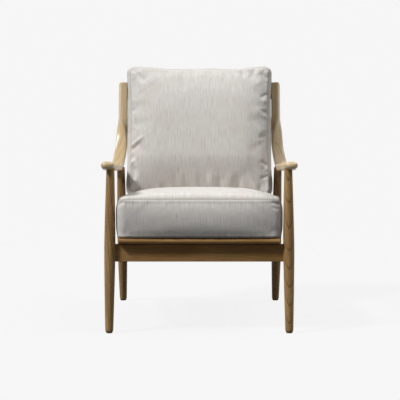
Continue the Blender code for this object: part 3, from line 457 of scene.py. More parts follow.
# %% From a grid to a mesh
def tube_mesh(name, points, grain, first_tip, last_tip):
    """A closed mesh from rings: points[i, j] is ring i, place j. The tips close its ends."""
    rings, sides = points.shape[:2]
    corner = np.arange(rings * sides).reshape(rings, sides)
    ahead = np.roll(corner, -1, axis=1)
    quads = np.stack((corner[:-1], ahead[:-1], ahead[1:], corner[1:]), axis=-1).reshape(-1, 4)
    tip, end = rings * sides, rings * sides + 1
    front = np.stack((np.full(sides, tip), ahead[0], corner[0]), axis=-1)
    back = np.stack((np.full(sides, end), corner[-1], ahead[-1]), axis=-1)
    verts = np.concatenate((points.reshape(-1, 3), [first_tip[0], last_tip[0]]))
    places = np.concatenate((grain.reshape(-1, 3), [first_tip[1], last_tip[1]]))
    mesh = bpy.data.meshes.new(name)
    mesh.from_pydata(verts.tolist(), [], quads.tolist() + front.tolist() + back.tolist())
    store = mesh.attributes.new("grain", "FLOAT_VECTOR", "POINT")
    store.data.foreach_set("vector", places.astype(np.float32).ravel())
    mesh.shade_smooth()
    made = bpy.data.objects.new(name, mesh)
    bpy.context.scene.collection.objects.link(made)
    return made


def face_outwards(piece):
    """Turn a closed mesh's faces so that its volume is positive."""
    bm = bmesh.new()
    bm.from_mesh(piece.data)
    bm.normal_update()
    bmesh.ops.recalc_face_normals(bm, faces=bm.faces)
    if bm.calc_volume(signed=True) < 0:
        bmesh.ops.reverse_faces(bm, faces=bm.faces)
    bm.to_mesh(piece.data)
    bm.free()


def stand_in_frame(piece, finish):
    """Finish a wooden piece, and let it stand for its solid, whose name follows oak_ in its own."""
    face_outwards(piece)
    piece.data.materials.append(finish)
    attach(piece, "frame")
    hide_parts(piece.name.replace("oak_", ""))


def smooth_step(value, low, high):
    """0 below low, 1 above high, and 3t^2 - 2t^3 between."""
    share = np.clip((value - low) / (high - low), 0.0, 1.0)
    return share * share * (3.0 - 2.0 * share)


print("Half way through a smooth step it is", smooth_step(0.5, 0.0, 1.0))

# %% [markdown]
# The arms are what a buyer looks at first. Each is one sweep: a rounded grip over the front leg, a
# flat arm that falls to the rear, a bend, and a back post that has turned to face forward. Its
# solid has the same sweep. This one is drawn again with a sharper turn, as the photograph shows it.
# In side view its centre line is a straight stretch, an arc and another straight stretch.

# %% The arm's centre line
OVERALL_DEPTH = 0.810
FRONT_LEG_SETBACK = 0.052
ARM_SLOPE = math.radians(5.5)
ARM_HEIGHT_AT_LEG = 0.5915
ARM_BEND_RADIUS = 0.150
POST_TOP_HEIGHT = 0.8535
POST_TWIST = math.radians(78.0)
SOLID_POST_WIDTH, SOLID_POST_THICKNESS, SOLID_SQUARENESS = 0.0440, 0.0270, 4.0

low_angle, high_angle = -ARM_SLOPE, math.pi / 2 - BACK_RECLINE
arm_low = np.array((math.cos(low_angle), math.sin(low_angle)))
arm_high = np.array((math.cos(high_angle), math.sin(high_angle)))
# The reach of a twisted outline |x/a|^n + |y/b|^n = 1 is a sum of powers m = n / (n - 1).
dual = SOLID_SQUARENESS / (SOLID_SQUARENESS - 1.0)
post_half_depth = ((SOLID_POST_WIDTH / 2 * math.sin(POST_TWIST)) ** dual
                   + (SOLID_POST_THICKNESS / 2 * math.cos(POST_TWIST)) ** dual) ** (1.0 / dual)
arm_top = np.array((
    OVERALL_DEPTH / 2 - post_half_depth * math.cos(BACK_RECLINE), POST_TOP_HEIGHT,
))
arm_front = np.array((
    -OVERALL_DEPTH / 2, ARM_HEIGHT_AT_LEG + FRONT_LEG_SETBACK * math.tan(ARM_SLOPE),
))
reach, back_reach = np.linalg.solve(np.column_stack((arm_low, arm_high)), arm_top - arm_front)
tangent = ARM_BEND_RADIUS * math.tan((high_angle - low_angle) / 2)
bend_start = reach - tangent
bend_end = bend_start + ARM_BEND_RADIUS * (high_angle - low_angle)
arm_length = bend_end + back_reach - tangent
bend_centre = (arm_front + arm_low * bend_start
               + ARM_BEND_RADIUS * np.array((-arm_low[1], arm_low[0])))


def arm_line(distance):
    """Side-view points and angles of the centre line: a line, an arc of the bend, and a line."""
    turned = np.clip(distance - bend_start, 0.0, bend_end - bend_start) / ARM_BEND_RADIUS
    angle = low_angle + turned
    arc = bend_centre + ARM_BEND_RADIUS * np.stack((np.sin(angle), -np.cos(angle)), axis=-1)
    before = np.minimum(distance - bend_start, 0.0)[..., None] * arm_low
    after = np.maximum(distance - bend_end, 0.0)[..., None] * arm_high
    return arc + before + after, angle


print("The arm's centre line is %.3f m long" % arm_length)

# %% [markdown]
# Along the centre line the section widens, thins and twists. Its half sizes, its twist and its
# squareness are smooth functions of the distance along the arm. The outline is the curve
# |x/a|^n + |y/b|^n = 1: n = 2 is an ellipse, and n = 4 an oblong with rounded corners. The nose is
# closed by shrinking the section as a quarter circle does.

# %% The arm's surface
GRIP_X, ARM_DRIFT, SWEEP_IN, SWEEP_AFTER_BEND = 0.3220, 0.0050, 0.0185, 0.050
GRIP_WIDTH, GRIP_THICKNESS, GRIP_RISE = 0.0460, 0.0280, 0.0065
GRIP_LENGTH, GRIP_NECK_LENGTH = 0.045, 0.075
ARM_WIDTH, ARM_THICKNESS = 0.0455, 0.0220
BEND_WIDTH, BEND_THICKNESS = 0.0460, 0.0250
POST_DEPTH, POST_FACE = 0.0430, 0.0312
TWIST_BELOW_BEND_END, TWIST_LENGTH = 0.040, 0.125
SWELL_BEFORE_BEND, SWELL_BEHIND_BEND = 0.100, 0.060
GRIP_SQUARENESS, SWEEP_SQUARENESS = 2.4, 5.5
SECTION_POINTS = 96


def arm_surface(side, distance, scale, inset):
    """Rings of points for distances along the arm, and their places in the wood."""
    neck = smooth_step(distance, GRIP_LENGTH, GRIP_LENGTH + GRIP_NECK_LENGTH)
    middle = (bend_start + bend_end) / 2
    into_bend = smooth_step(distance, bend_start - SWELL_BEFORE_BEND, middle)
    into_post = smooth_step(distance, middle, bend_end + SWELL_BEHIND_BEND)
    width = GRIP_WIDTH + (ARM_WIDTH - GRIP_WIDTH) * neck
    width = width + (BEND_WIDTH - ARM_WIDTH) * into_bend + (POST_DEPTH - BEND_WIDTH) * into_post
    thick = GRIP_THICKNESS + (ARM_THICKNESS - GRIP_THICKNESS) * neck
    thick = thick + (BEND_THICKNESS - ARM_THICKNESS) * into_bend
    thick = thick + (POST_FACE - BEND_THICKNESS) * into_post
    twist_start = bend_end - TWIST_BELOW_BEND_END
    twist = POST_TWIST * smooth_step(distance, twist_start, twist_start + TWIST_LENGTH)
    power = 2.0 / (GRIP_SQUARENESS + (SWEEP_SQUARENESS - GRIP_SQUARENESS) * neck)
    rise = GRIP_RISE * (1.0 - neck)
    spacing = GRIP_X - ARM_DRIFT * np.clip(distance / bend_start, 0.0, 1.0)
    spacing = spacing - SWEEP_IN * smooth_step(distance, bend_start, bend_end + SWEEP_AFTER_BEND)
    line, angle = arm_line(distance)
    normal = np.stack((np.zeros_like(angle), -np.sin(angle), np.cos(angle)), axis=-1)
    outward = np.array((side, 0.0, 0.0))
    face = normal * np.cos(twist)[:, None] + outward * np.sin(twist)[:, None]
    across = outward * np.cos(twist)[:, None] - normal * np.sin(twist)[:, None]
    centre = np.stack((side * spacing, line[:, 0], line[:, 1]), axis=-1) + normal * rise[:, None]
    turn = 2.0 * np.pi * (np.arange(SECTION_POINTS) + 0.5) / SECTION_POINTS
    cos, sin = np.cos(turn)[None, :], np.sin(turn)[None, :]
    wide = np.sign(cos) * np.abs(cos) ** power[:, None] * ((width / 2 - inset) * scale)[:, None]
    high = np.sign(sin) * np.abs(sin) ** power[:, None] * ((thick / 2 - inset) * scale)[:, None]
    points = centre[:, None] + across[:, None] * wide[..., None] + face[:, None] * high[..., None]
    along = np.broadcast_to(distance[:, None], wide.shape)
    return points, np.stack((wide, along, high), axis=-1)


print("The post turns by %.0f degrees" % math.degrees(POST_TWIST))

# %% [markdown]
# An arm is made of three runs of rings: the nose, which swells from a point, the long sweep, and
# the end of the post, whose edge is rounded over before its flat top closes. The two arms are cut
# from different places in the wood, as the real ones are.

# %% The arms
GRIP_NOSE_LENGTH = 0.014
NOSE_STATIONS, ARM_STATIONS = 16, 240
NOSE_START = 0.03                                  # share of the quarter circle at the first ring
POST_END_ROUNDING = 0.0025
POST_END_ANGLES = np.radians((30.0, 60.0, 90.0))
POST_END_SCALES = (0.8, 0.5, 0.2)                  # rings of the flat end
WOOD_BESIDE_ARM = np.array((0.020, 0.0, 0.055))
ARM_WOOD = {"left": (0.0, 0.30, 0.0), "right": (0.012, 1.70, 0.018)}


def make_arm(name, side, wood_start):
    """An arm: nose rings, rings along the sweep, and the rounded and flat end of the post."""
    nose = np.linspace(NOSE_START, 1.0, NOSE_STATIONS) * math.pi / 2
    distance = np.concatenate((
        GRIP_NOSE_LENGTH * (1.0 - np.cos(nose)),
        np.linspace(GRIP_NOSE_LENGTH, arm_length - POST_END_ROUNDING, ARM_STATIONS)[1:],
        arm_length - POST_END_ROUNDING * (1.0 - np.sin(POST_END_ANGLES)),
        np.full(len(POST_END_SCALES), arm_length),
    ))
    flat = len(POST_END_SCALES)
    scale = np.ones_like(distance)
    scale[:NOSE_STATIONS] = np.sin(nose)
    scale[-flat:] = POST_END_SCALES
    inset = np.zeros_like(distance)
    inset[-flat - len(POST_END_ANGLES):-flat] = POST_END_ROUNDING * (1.0 - np.cos(POST_END_ANGLES))
    inset[-flat:] = POST_END_ROUNDING
    points, grain = arm_surface(side, distance, scale, inset)
    grain = grain + WOOD_BESIDE_ARM + wood_start
    ends = [(points[index].mean(axis=0), grain[index].mean(axis=0)) for index in (0, -1)]
    piece = tube_mesh(name, points, grain, *ends)
    stand_in_frame(piece, arm_oak)
    return piece


for label, start in ARM_WOOD.items():
    made = make_arm("oak_arm_" + label, -1.0 if label == "left" else 1.0, np.array(start))
    print(made.name, "has", len(made.data.polygons), "faces")


# %% [markdown]
# The front legs stand upright and nearly parallel, and carry the grips. The rear legs are raked
# forward to meet the arm near its bend. All four stand on felt glides and end inside the arm, so
# the height of the arm over a rear leg is read off its centre line.

# %% Where the legs stand
FRONT_LEG_FOOT_X, FRONT_LEG_TOP_X = 0.3205, 0.3130
REAR_LEG_FOOT_X, REAR_LEG_TOP_X = 0.3005, 0.3010
REAR_LEG_FOOT_Y = OVERALL_DEPTH / 2 - 0.068
REAR_LEG_TOP_Y = OVERALL_DEPTH / 2 - 0.210
FRONT_RADII, FRONT_BELLY_HEIGHT = (0.0142, 0.0200, 0.0140), 0.300
REAR_RADII, REAR_BELLY_HEIGHT = (0.0136, 0.0190, 0.0145), 0.235
ARM_LINE_SAMPLES = 2000


def arm_height(place_y):
    """The height of the arm's centre line over a place, read off the line itself."""
    line, _ = arm_line(np.linspace(0.0, bend_end, ARM_LINE_SAMPLES))
    return float(np.interp(place_y, line[:, 0], line[:, 1]))


# Each leg: its foot, its top, its radii at foot, belly and top, and the height of the belly.
LEGS = {
    "front": (
        (FRONT_LEG_FOOT_X, FRONT_LEG_Y),
        (FRONT_LEG_TOP_X, FRONT_LEG_Y, ARM_HEIGHT_AT_LEG + GRIP_RISE / 2),
        FRONT_RADII, FRONT_BELLY_HEIGHT,
    ),
    "rear": (
        (REAR_LEG_FOOT_X, REAR_LEG_FOOT_Y),
        (REAR_LEG_TOP_X, REAR_LEG_TOP_Y, arm_height(REAR_LEG_TOP_Y)),
        REAR_RADII, REAR_BELLY_HEIGHT,
    ),
}


print("The rear legs reach the arm at %.3f m" % LEGS["rear"][1][2])

# %% [markdown]
# The legs are turned on a lathe and sanded, thickest where the rails meet them. A profile of
# radius against height, spun round the axis, gives each one. The holes for the rails are hidden by
# the rails themselves, so the turned surface can stay whole. Only the right front leg is cut so
# near the pith that its rings show as arches, as in the photograph.

# %% The legs
LEG_SWELL_POWER = 1.35
LEG_RINGS, LEG_SIDES = 160, 72
GLIDE_TOP = 0.0043
TOP_IN_ARM = 0.004
FOOT_EDGE = 0.0020
# Where each leg lies beside the pith.
LEG_WOOD = {
    "front_left": (0.090, -0.30, 0.030), "front_right": (0.000, 1.10, 0.012),
    "rear_left": (0.110, 0.00, 0.040), "rear_right": (0.085, -0.20, 0.045),
}


def make_leg(name, side, which, wood_start):
    """A turned leg: radius = belly - (belly - end) * (share of the way to the end) ^ power."""
    (foot_x, foot_y), (top_x, top_y, top_z), radii, belly_height = LEGS[which]
    foot_radius, belly, top_radius = radii
    foot = np.array((side * foot_x, foot_y, GLIDE_TOP))
    top = np.array((side * top_x, top_y, top_z))
    length = float(np.linalg.norm(top - foot))
    axis = (top - foot) / length
    aside = np.array((0.0, -1.0, 0.0)) - axis * -axis[1]
    aside /= np.linalg.norm(aside)
    ahead = np.cross(axis, aside)
    height = np.linspace(0.0, length - TOP_IN_ARM, LEG_RINGS)
    to_foot = np.clip((belly_height - height) / belly_height, 0.0, 1.0)
    to_top = np.clip((height - belly_height) / (length - belly_height), 0.0, 1.0)
    radius = belly - (belly - foot_radius) * to_foot ** LEG_SWELL_POWER
    radius = radius - (belly - top_radius) * to_top ** LEG_SWELL_POWER
    edge = np.clip(1.0 - height / FOOT_EDGE, 0.0, 1.0)
    radius = radius - FOOT_EDGE * (1.0 - np.sqrt(1.0 - edge ** 2))
    turn = 2.0 * np.pi * np.arange(LEG_SIDES) / LEG_SIDES
    round_it = np.cos(turn)[:, None] * ahead + np.sin(turn)[:, None] * aside
    points = foot + axis * height[:, None, None] + radius[:, None, None] * round_it[None]
    below_glide = np.clip((points[..., 2] - GLIDE_TOP) / axis[2], None, 0.0)
    points = points - below_glide[..., None] * axis
    grain = np.stack((
        radius[:, None] * np.cos(turn), np.broadcast_to(height[:, None], (LEG_RINGS, LEG_SIDES)),
        radius[:, None] * np.sin(turn),
    ), axis=-1) + np.asarray(wood_start)
    foot_tip = (foot, grain[0].mean(axis=0))
    top_tip = (foot + axis * height[-1], grain[-1].mean(axis=0))
    piece = tube_mesh(name, points, grain, foot_tip, top_tip)
    stand_in_frame(piece, leg_oak)
    return piece


for corner, start in LEG_WOOD.items():
    which, label = corner.split("_")
    side = -1.0 if label == "left" else 1.0
    made = make_leg("oak_%s_leg_%s" % (which, label), side, which, start)
    print(made.name, "has", len(made.data.polygons), "faces")


# %% [markdown]
# Linen is woven from yarn of uneven thickness. The thick stretches, called slubs, run with the
# warp as short darker and lighter streaks, and they are what the eye sees from a step away.
# The cloth's own map, in metres, carries the weave, so it runs up the front, over the seam and
# back along the top as it does on a sewn cover.

# %% Linen
THREAD_PITCH = 0.0015     # real threads are 0.5 mm apart; drawn three times as far, to show
# Each slub: its width and its length in metres, and its octaves of detail.
LINEN_SLUBS = {"long": (0.0034, 0.055, 2.0), "short": (0.0016, 0.022, 2.0)}
SHORT_SLUB_SHARE = 0.40
SLUB_FROM, SLUB_TO = 0.36, 0.64                        # the noise levels of the two pale yarns
DARK_FROM, DARK_TO, DARK_SHARE = 0.40, 0.30, 0.6       # and of the few dark ones
CLOUDS_PER_METRE = 9.0                                 # where the flax took the bleach unevenly
CLOUD_FROM, CLOUD_TO, CLOUD_SHARE = 0.5, 0.75, 0.5
LINEN_LIGHT, LINEN_MID, LINEN_DARK = "#DAD7D3", "#C9C5BF", "#A39A8F"
LINEN_PINK = "#CEC2BD"
LINEN_SEAM_THREAD_AND_SHADE = "#6E655B"    # the seam's thread, with painted shade in the valley between its two edges
SEAM_SHADE, SEAM_SHADE_WIDTH = 0.45, 0.0030
WEAVE_SHARE, CLOTH_STRENGTH, CLOTH_HEIGHT = 0.25, 0.5, 0.0012

# Woven flax: dull and dry, with a faint fuzz of fibre ends that pales it where it turns away.
linen, tree, shader = new_finish("natural_slub_linen")
cloth_map = add_node(tree, "UVMap", uv_map="cloth").outputs[0]
slubs = drawn_out(tree, cloth_map, LINEN_SLUBS)
slub = add_node(tree, "Mix", {
    0: SHORT_SLUB_SHARE, 2: slubs["long"].outputs["Fac"], 3: slubs["short"].outputs["Fac"],
}).outputs[0]
cloud = add_node(tree, "TexNoise", {"Vector": cloth_map, "Scale": CLOUDS_PER_METRE, "Detail": 2.0})
from_seam = add_node(tree, "Attribute", attribute_name="seam")
pale_yarn = add_node(tree, "MapRange", {
    "Value": slub, "From Min": SLUB_FROM, "From Max": SLUB_TO,
})
pinkish = add_node(tree, "MapRange", {
    "Value": cloud.outputs["Fac"], "From Min": CLOUD_FROM, "From Max": CLOUD_TO,
    "To Max": CLOUD_SHARE,
})
dark_yarn = add_node(tree, "MapRange", {
    "Value": slub, "From Min": DARK_FROM, "From Max": DARK_TO, "To Max": DARK_SHARE,
})
# Painted shade: within a few millimetres of a seam the cloth is darkened, partly for the thread and
# mostly for the shade in the seam's valley.
seam_thread_and_painted_shade = add_node(tree, "MapRange", {
    "Value": from_seam.outputs["Fac"], "From Min": 0.0, "From Max": SEAM_SHADE_WIDTH,
    "To Min": SEAM_SHADE, "To Max": 0.0,
}, interpolation_type="SMOOTHSTEP")
colour = linear(LINEN_MID)
for share, over in ((pale_yarn, LINEN_LIGHT), (pinkish, LINEN_PINK),
                    (dark_yarn, LINEN_DARK), (seam_thread_and_painted_shade, LINEN_SEAM_THREAD_AND_SHADE)):
    colour = add_node(tree, "Mix", {
        0: share.outputs[0], 6: colour, 7: linear(over),
    }, data_type="RGBA").outputs[2]
tree.links.new(colour, shader.inputs["Base Color"])

# The weave is sin(pi x / pitch) * sin(pi y / pitch): each thread over one and under the next.
threads = add_node(tree, "VectorMath", {
    0: cloth_map, 1: (math.pi / THREAD_PITCH, math.pi / THREAD_PITCH, 0.0),
}, operation="MULTIPLY")
waves = add_node(tree, "VectorMath", {0: threads.outputs[0]}, operation="SINE")
warp_weft = add_node(tree, "SeparateXYZ", {0: waves.outputs[0]})
weave = add_node(tree, "Math", {
    0: warp_weft.outputs["X"], 1: warp_weft.outputs["Y"],
}, operation="MULTIPLY")
cloth_relief = add_node(tree, "Math", {
    0: weave.outputs[0], 1: WEAVE_SHARE, 2: slub,
}, operation="MULTIPLY_ADD")
bump = add_node(tree, "Bump", {
    "Height": cloth_relief.outputs[0], "Strength": CLOTH_STRENGTH, "Distance": CLOTH_HEIGHT,
})
tree.links.new(bump.outputs[0], shader.inputs["Normal"])
shader.inputs["Roughness"].default_value = 0.92
shader.inputs["Sheen Weight"].default_value = 0.25
shader.inputs["Sheen Roughness"].default_value = 0.4
shader.inputs["Specular IOR Level"].default_value = 0.2
print("Linen slubs are %.1f mm wide" % (LINEN_SLUBS["long"][0] * 1000))

# %% [markdown]
# A boxed cushion is two panels and a border, sewn along two seams. Its mesh is the surface of a
# lattice whose three directions each run from -1 to 1. A function bends the lattice into the
# cushion's form. Every point keeps its place in the lattice, so the seams are easy to find.

# %% A cushion's lattice
def lattice_shell(counts):
    """Points and quads on the surface of a box of count[0] x count[1] x count[2] cells."""
    points, quads = [], []
    for axis in range(3):
        first, second = (axis + 1) % 3, (axis + 2) % 3
        a, b = np.indices((counts[first] + 1, counts[second] + 1))
        for end in (0, counts[axis]):
            grid = np.zeros(a.shape + (3,), int)
            grid[..., axis], grid[..., first], grid[..., second] = end, a, b
            start = sum(len(block) for block in points)
            index = start + np.arange(a.size).reshape(a.shape)
            faces = np.stack((
                index[:-1, :-1], index[1:, :-1], index[1:, 1:], index[:-1, 1:],
            ), axis=-1)
            if end == 0:
                faces = faces[..., ::-1]
            points.append(grid.reshape(-1, 3))
            quads.append(faces.reshape(-1, 4))
    every = np.concatenate(points)
    unique, index = np.unique(every, axis=0, return_inverse=True)
    faces = index.reshape(-1)[np.concatenate(quads)]
    return 2.0 * unique / np.array(counts) - 1.0, faces


def sample_lattice(values, counts, place):
    """Values at a coarse lattice's points, read at other places: linear between eight corners."""
    store = np.zeros((counts[0] + 1, counts[1] + 1, counts[2] + 1, values.shape[1]))
    coarse, _ = lattice_shell(counts)
    spot = np.rint((coarse + 1.0) / 2.0 * counts).astype(int)
    store[spot[:, 0], spot[:, 1], spot[:, 2]] = values
    step = (place + 1.0) / 2.0 * counts
    low = np.minimum(step.astype(int), np.array(counts) - 1)
    share = step - low
    total = np.zeros((len(place), values.shape[1]))
    for corner in np.ndindex(2, 2, 2):
        weight = np.where(corner, share, 1.0 - share).prod(axis=1)
        at = low + corner
        total += weight[:, None] * store[at[:, 0], at[:, 1], at[:, 2]]
    return total


def neighbour_mean(values, faces, rounds):
    """Each round moves every value half way to the mean of its neighbours along the quads."""
    sides = np.concatenate((faces[:, [0, 1]], faces[:, [1, 2]], faces[:, [2, 3]], faces[:, [3, 0]]))
    share = np.bincount(sides[:, 0], minlength=len(values))[:, None]
    for _ in range(rounds):
        total = [np.bincount(sides[:, 0], weights=column[sides[:, 1]], minlength=len(values))
                 for column in values.T]
        values = 0.5 * values + 0.5 * np.stack(total, axis=-1) / share
    return values


def round_corner(x, y, half_x, half_y, radius):
    """Bend a rectangle's square corners into quarter circles, leaving its sides where they are."""
    over_x = np.clip((np.abs(x) - (half_x - radius)) / radius, 0.0, None)
    over_y = np.clip((np.abs(y) - (half_y - radius)) / radius, 0.0, None)
    larger = np.maximum(over_x, over_y)
    share = np.minimum(over_x, over_y) / np.maximum(larger, 1e-9)
    swing = np.where(over_x >= over_y, share, 2.0 - share) * math.pi / 4
    new_x = np.where(over_x > 0, half_x - radius + radius * larger * np.cos(swing), np.abs(x))
    new_y = np.where(over_y > 0, half_y - radius + radius * larger * np.sin(swing), np.abs(y))
    return np.sign(x) * new_x, np.sign(y) * new_y


print("A lattice of 2 x 2 x 2 cells has", len(lattice_shell((2, 2, 2))[0]), "points on its surface")

# %% [markdown]
# The seat cushion lies on the webbing of the seat frame, which is raked down to the rear, and the
# back cushion leans on the slats. Each is easiest to shape in its own plane, as an upholsterer lays
# it flat on the bench: x across, y to the rear, z square to the plane or up the slats. Two sets of
# axes and two origins put the finished shapes into the chair.

# %% Where the cushions stand
LOWER_BACK_RAIL_HEIGHT = 0.400
BACK_FRAME_FORWARD = 0.0060
SEAT_HEIGHT = 0.3195


def leaning_axes(angle):
    """The axes of a plane that leans to the rear by an angle, one to a row."""
    return np.array((
        (1.0, 0.0, 0.0),
        (0.0, math.cos(angle), -math.sin(angle)),
        (0.0, math.sin(angle), math.cos(angle)),
    ))


SEAT_AXES, BACK_AXES = leaning_axes(SEAT_RAKE), leaning_axes(BACK_RECLINE)
SEAT_ORIGIN = np.array((0.0, FRONT_LEG_Y, SEAT_HEIGHT))
forward = np.array((-arm_high[1], arm_high[0]))
run = (arm_top[1] + forward[1] * BACK_FRAME_FORWARD - LOWER_BACK_RAIL_HEIGHT) / arm_high[1]
BACK_ORIGIN = np.array((0.0, *(arm_top - arm_high * run + forward * BACK_FRAME_FORWARD)))
print("The back frame starts at", BACK_ORIGIN.round(4).tolist())

# %% [markdown]
# The seat cushion is a box of foam in a feather wrap, so its front and sides swell between the
# seams, its top is crowned, and the crown is pressed flatter at the rear, where the back cushion
# stands on it. Its front leans a little forward, which shows the full border, as in the photograph.

# %% The seat cushion's shape
TOUCH_GAP = 0.0003
SEAT_BOTTOM, SEAT_THICKNESS = 0.0204, 0.1355
SEAT_HALF_WIDTH = 0.2955
SEAT_DRAWN_IN, SEAT_WIDER_AHEAD = 0.0040, 0.0040
SEAT_SIDE_SWELL, SEAT_SIDE_POWER = 0.0080, 4
SEAT_FRONT, SEAT_FRONT_LEAN = -0.0350, 0.0105
SEAT_FRONT_SWELL, SEAT_FRONT_POWER, SEAT_FRONT_END_POWER = 0.0140, 8, 4
SEAT_CROWN, SEAT_CROWN_FALL = 0.0525, (2.6, 0.4)
SEAT_REST_CROWN = 0.0315
SEAT_REST_FROM, SEAT_REST_RUN = 0.380, 0.140
SEAT_CORNER = 0.034
BACK_RAIL_HALF = (0.0100, 0.0225)
edge = BACK_ORIGIN - BACK_AXES[1] * BACK_RAIL_HALF[0] - BACK_AXES[2] * BACK_RAIL_HALF[1]
SEAT_REAR = float((edge - SEAT_ORIGIN) @ SEAT_AXES[1]) - 2 * TOUCH_GAP


def fall_off(share, power, fall):
    """1 in the middle and 0 at a seam: (1 - |share|^power)^fall."""
    return np.clip(1.0 - np.abs(share) ** power, 0.0, None) ** fall


def seat_shape(place):
    """The seat cushion in its own plane, from lattice places (u across, v back, w up).

    half width = widest - swell * w^4 - drawn in * (1 - v^2), the front lies ahead by
    swell * (1 - w^2) * (1 - u^4), and the top rises by crown * fall-off(u) * fall-off(v).
    """
    u, v, w = place.T
    ahead = np.clip(-v, 0.0, 1.0) ** SEAT_FRONT_POWER
    half = SEAT_HALF_WIDTH - SEAT_SIDE_SWELL * w ** SEAT_SIDE_POWER
    half = half - SEAT_DRAWN_IN * (1.0 - v * v) + SEAT_WIDER_AHEAD * ahead
    middle, half_depth = (SEAT_FRONT + SEAT_REAR) / 2, (SEAT_REAR - SEAT_FRONT) / 2
    front_swell = SEAT_FRONT_SWELL * (1.0 - w * w) * (1.0 - u ** SEAT_FRONT_END_POWER)
    front_swell = front_swell + SEAT_FRONT_LEAN * w
    x, y = round_corner(u * half, v * half_depth, half, np.full_like(u, half_depth), SEAT_CORNER)
    y = y + middle - front_swell * ahead
    z = SEAT_BOTTOM + SEAT_THICKNESS * (w + 1.0) / 2
    full = SEAT_CROWN * fall_off(u, *SEAT_CROWN_FALL) * fall_off(v, *SEAT_CROWN_FALL)
    rest = smooth_step(y, SEAT_REST_FROM - SEAT_REST_RUN, SEAT_REST_FROM)
    full = full + (np.minimum(full, SEAT_REST_CROWN) - full) * rest
    z = z + np.where(w >= 1.0, full, 0.0)
    return np.stack((x, y, z), axis=-1)


print("The seat cushion is %.0f mm deep" % (1000 * (SEAT_REAR - SEAT_FRONT)))

# %% [markdown]
# The back cushion is softer: a bag of feathers, fullest in the middle and thin at its seams, with
# ears at its top corners. Its foot is cut to the slope of the seat cushion, on which it stands, and
# is tucked in above it. Its top edge is not straight, because the filling lies unevenly there.

# %% The back cushion's shape
BACK_HALF_WIDTH, BACK_DRAWN_IN = 0.2825, 0.0060
BACK_TOP = 0.5120
BACK_THICKNESS = 0.1100
BACK_CROWN, BACK_CROWN_ACROSS, BACK_CROWN_UP = 0.0520, (4.5, 0.6), (2.0, 0.6)
BACK_TUCK, BACK_TUCK_FROM, BACK_TUCK_ACROSS = 0.026, 0.40, (4.0, 1.0)
BACK_EAR, BACK_EAR_POWER = 0.0080, 3
BACK_SEAM_INSET, BACK_SEAM_POWER, BACK_TOP_INSET_SHARE = 0.0120, 4, 0.8
BACK_CORNER = 0.026
BACK_LOWER_LIFT, BACK_LIFT_FROM = 0.0120, 0.3
BACK_TOP_EDGE_FROM = 0.5
BACK_TOP_EDGE = (       # the uneven top edge: share of the half width, and rise in metres
    (-1.0, 0.000), (-0.83, 0.002), (-0.57, 0.000), (-0.10, -0.0025), (0.12, 0.0005),
    (0.47, -0.002), (0.61, -0.004), (0.76, 0.0015), (0.84, 0.003), (1.0, 0.000),
)


def back_shape(place):
    """The back cushion in the back's plane, from lattice places (u across, w up, v forward).

    It lies ahead of the slats by thickness * (v + 1) / 2, and its front by crown * fall-off(u)
    * fall-off(w) - tuck more. Its border runs in towards both seams by inset * v^4.
    """
    u, w, v = place[:, 0], place[:, 2], -place[:, 1]
    full = BACK_CROWN * fall_off(u, *BACK_CROWN_ACROSS) * fall_off(w, *BACK_CROWN_UP)
    tucked = BACK_TUCK * smooth_step(-w, BACK_TUCK_FROM, 1.0) * fall_off(u, *BACK_TUCK_ACROSS)
    front_crown = np.where(v >= 1.0, full - tucked, 0.0)
    ahead = BACK_RAIL_HALF[0] + TOUCH_GAP + BACK_THICKNESS * (v + 1.0) / 2 + front_crown
    inset = BACK_SEAM_INSET * v ** BACK_SEAM_POWER
    half = BACK_HALF_WIDTH - BACK_DRAWN_IN * (1.0 - w * w) - inset
    level = SEAT_BOTTOM + SEAT_THICKNESS + SEAT_REST_CROWN + TOUCH_GAP
    start = BACK_ORIGIN - BACK_AXES[1] * ahead[:, None]
    bottom = (level - (start - SEAT_ORIGIN) @ SEAT_AXES[2]) / (BACK_AXES[2] @ SEAT_AXES[2])
    bottom = bottom + BACK_LOWER_LIFT * smooth_step(v, BACK_LIFT_FROM, 1.0)
    top = BACK_TOP - BACK_TOP_INSET_SHARE * inset + BACK_EAR * np.abs(u) ** BACK_EAR_POWER
    uneven = np.interp(u, *zip(*BACK_TOP_EDGE))
    top = top + uneven * smooth_step(w, BACK_TOP_EDGE_FROM, 1.0)
    half_height = (top - bottom) / 2
    x, z = round_corner(u * half, w * half_height, half, half_height, BACK_CORNER)
    return np.stack((x, -ahead, z + (top + bottom) / 2), axis=-1)


print("The back cushion is %.0f mm wide" % (2000 * BACK_HALF_WIDTH))

# %% [markdown]
# The cover is sewn a little small for its filling, so it wrinkles. Blender's cloth, blown up by
# pressure with gravity off, finds those wrinkles on a coarse copy of the cushion. The side that
# lies on the webbing or on the slats is pinned. The slow part of the movement would only make the
# cushion bigger, so it is held to a few millimetres, and the wrinkles are kept as they are.

# %% Filling the cover
SIMULATION_FRAMES = 20
SLOW_ROUNDS = 14
SWELL_LIMIT, WRINKLE_LIMIT = 0.0020, 0.0060
COVER_CLOTH = {
    "quality": 6, "mass": 0.3, "tension_stiffness": 30.0, "compression_stiffness": 10.0,
    "shear_stiffness": 8.0, "bending_stiffness": 0.15,
    "shrink_max": 0.12, "vertex_group_shrink": "sewn", "vertex_group_mass": "pinned",
    "use_pressure": True, "uniform_pressure_force": 4.0,
}


def mesh_points(mesh):
    """A mesh's points as an array."""
    points = np.zeros(len(mesh.vertices) * 3, np.float32)
    mesh.vertices.foreach_get("co", points)
    return points.reshape(-1, 3).astype(float)


def mesh_of(name, points, faces):
    """A mesh from arrays of points and quads."""
    mesh = bpy.data.meshes.new(name)
    mesh.from_pydata(points.tolist(), [], faces.tolist())
    return mesh


def limited(moved, limit):
    """Shorten movements softly: limit * tanh(length / limit)."""
    length = np.linalg.norm(moved, axis=1, keepdims=True)
    return moved * limit * np.tanh(length / limit) / np.maximum(length, 1e-9)


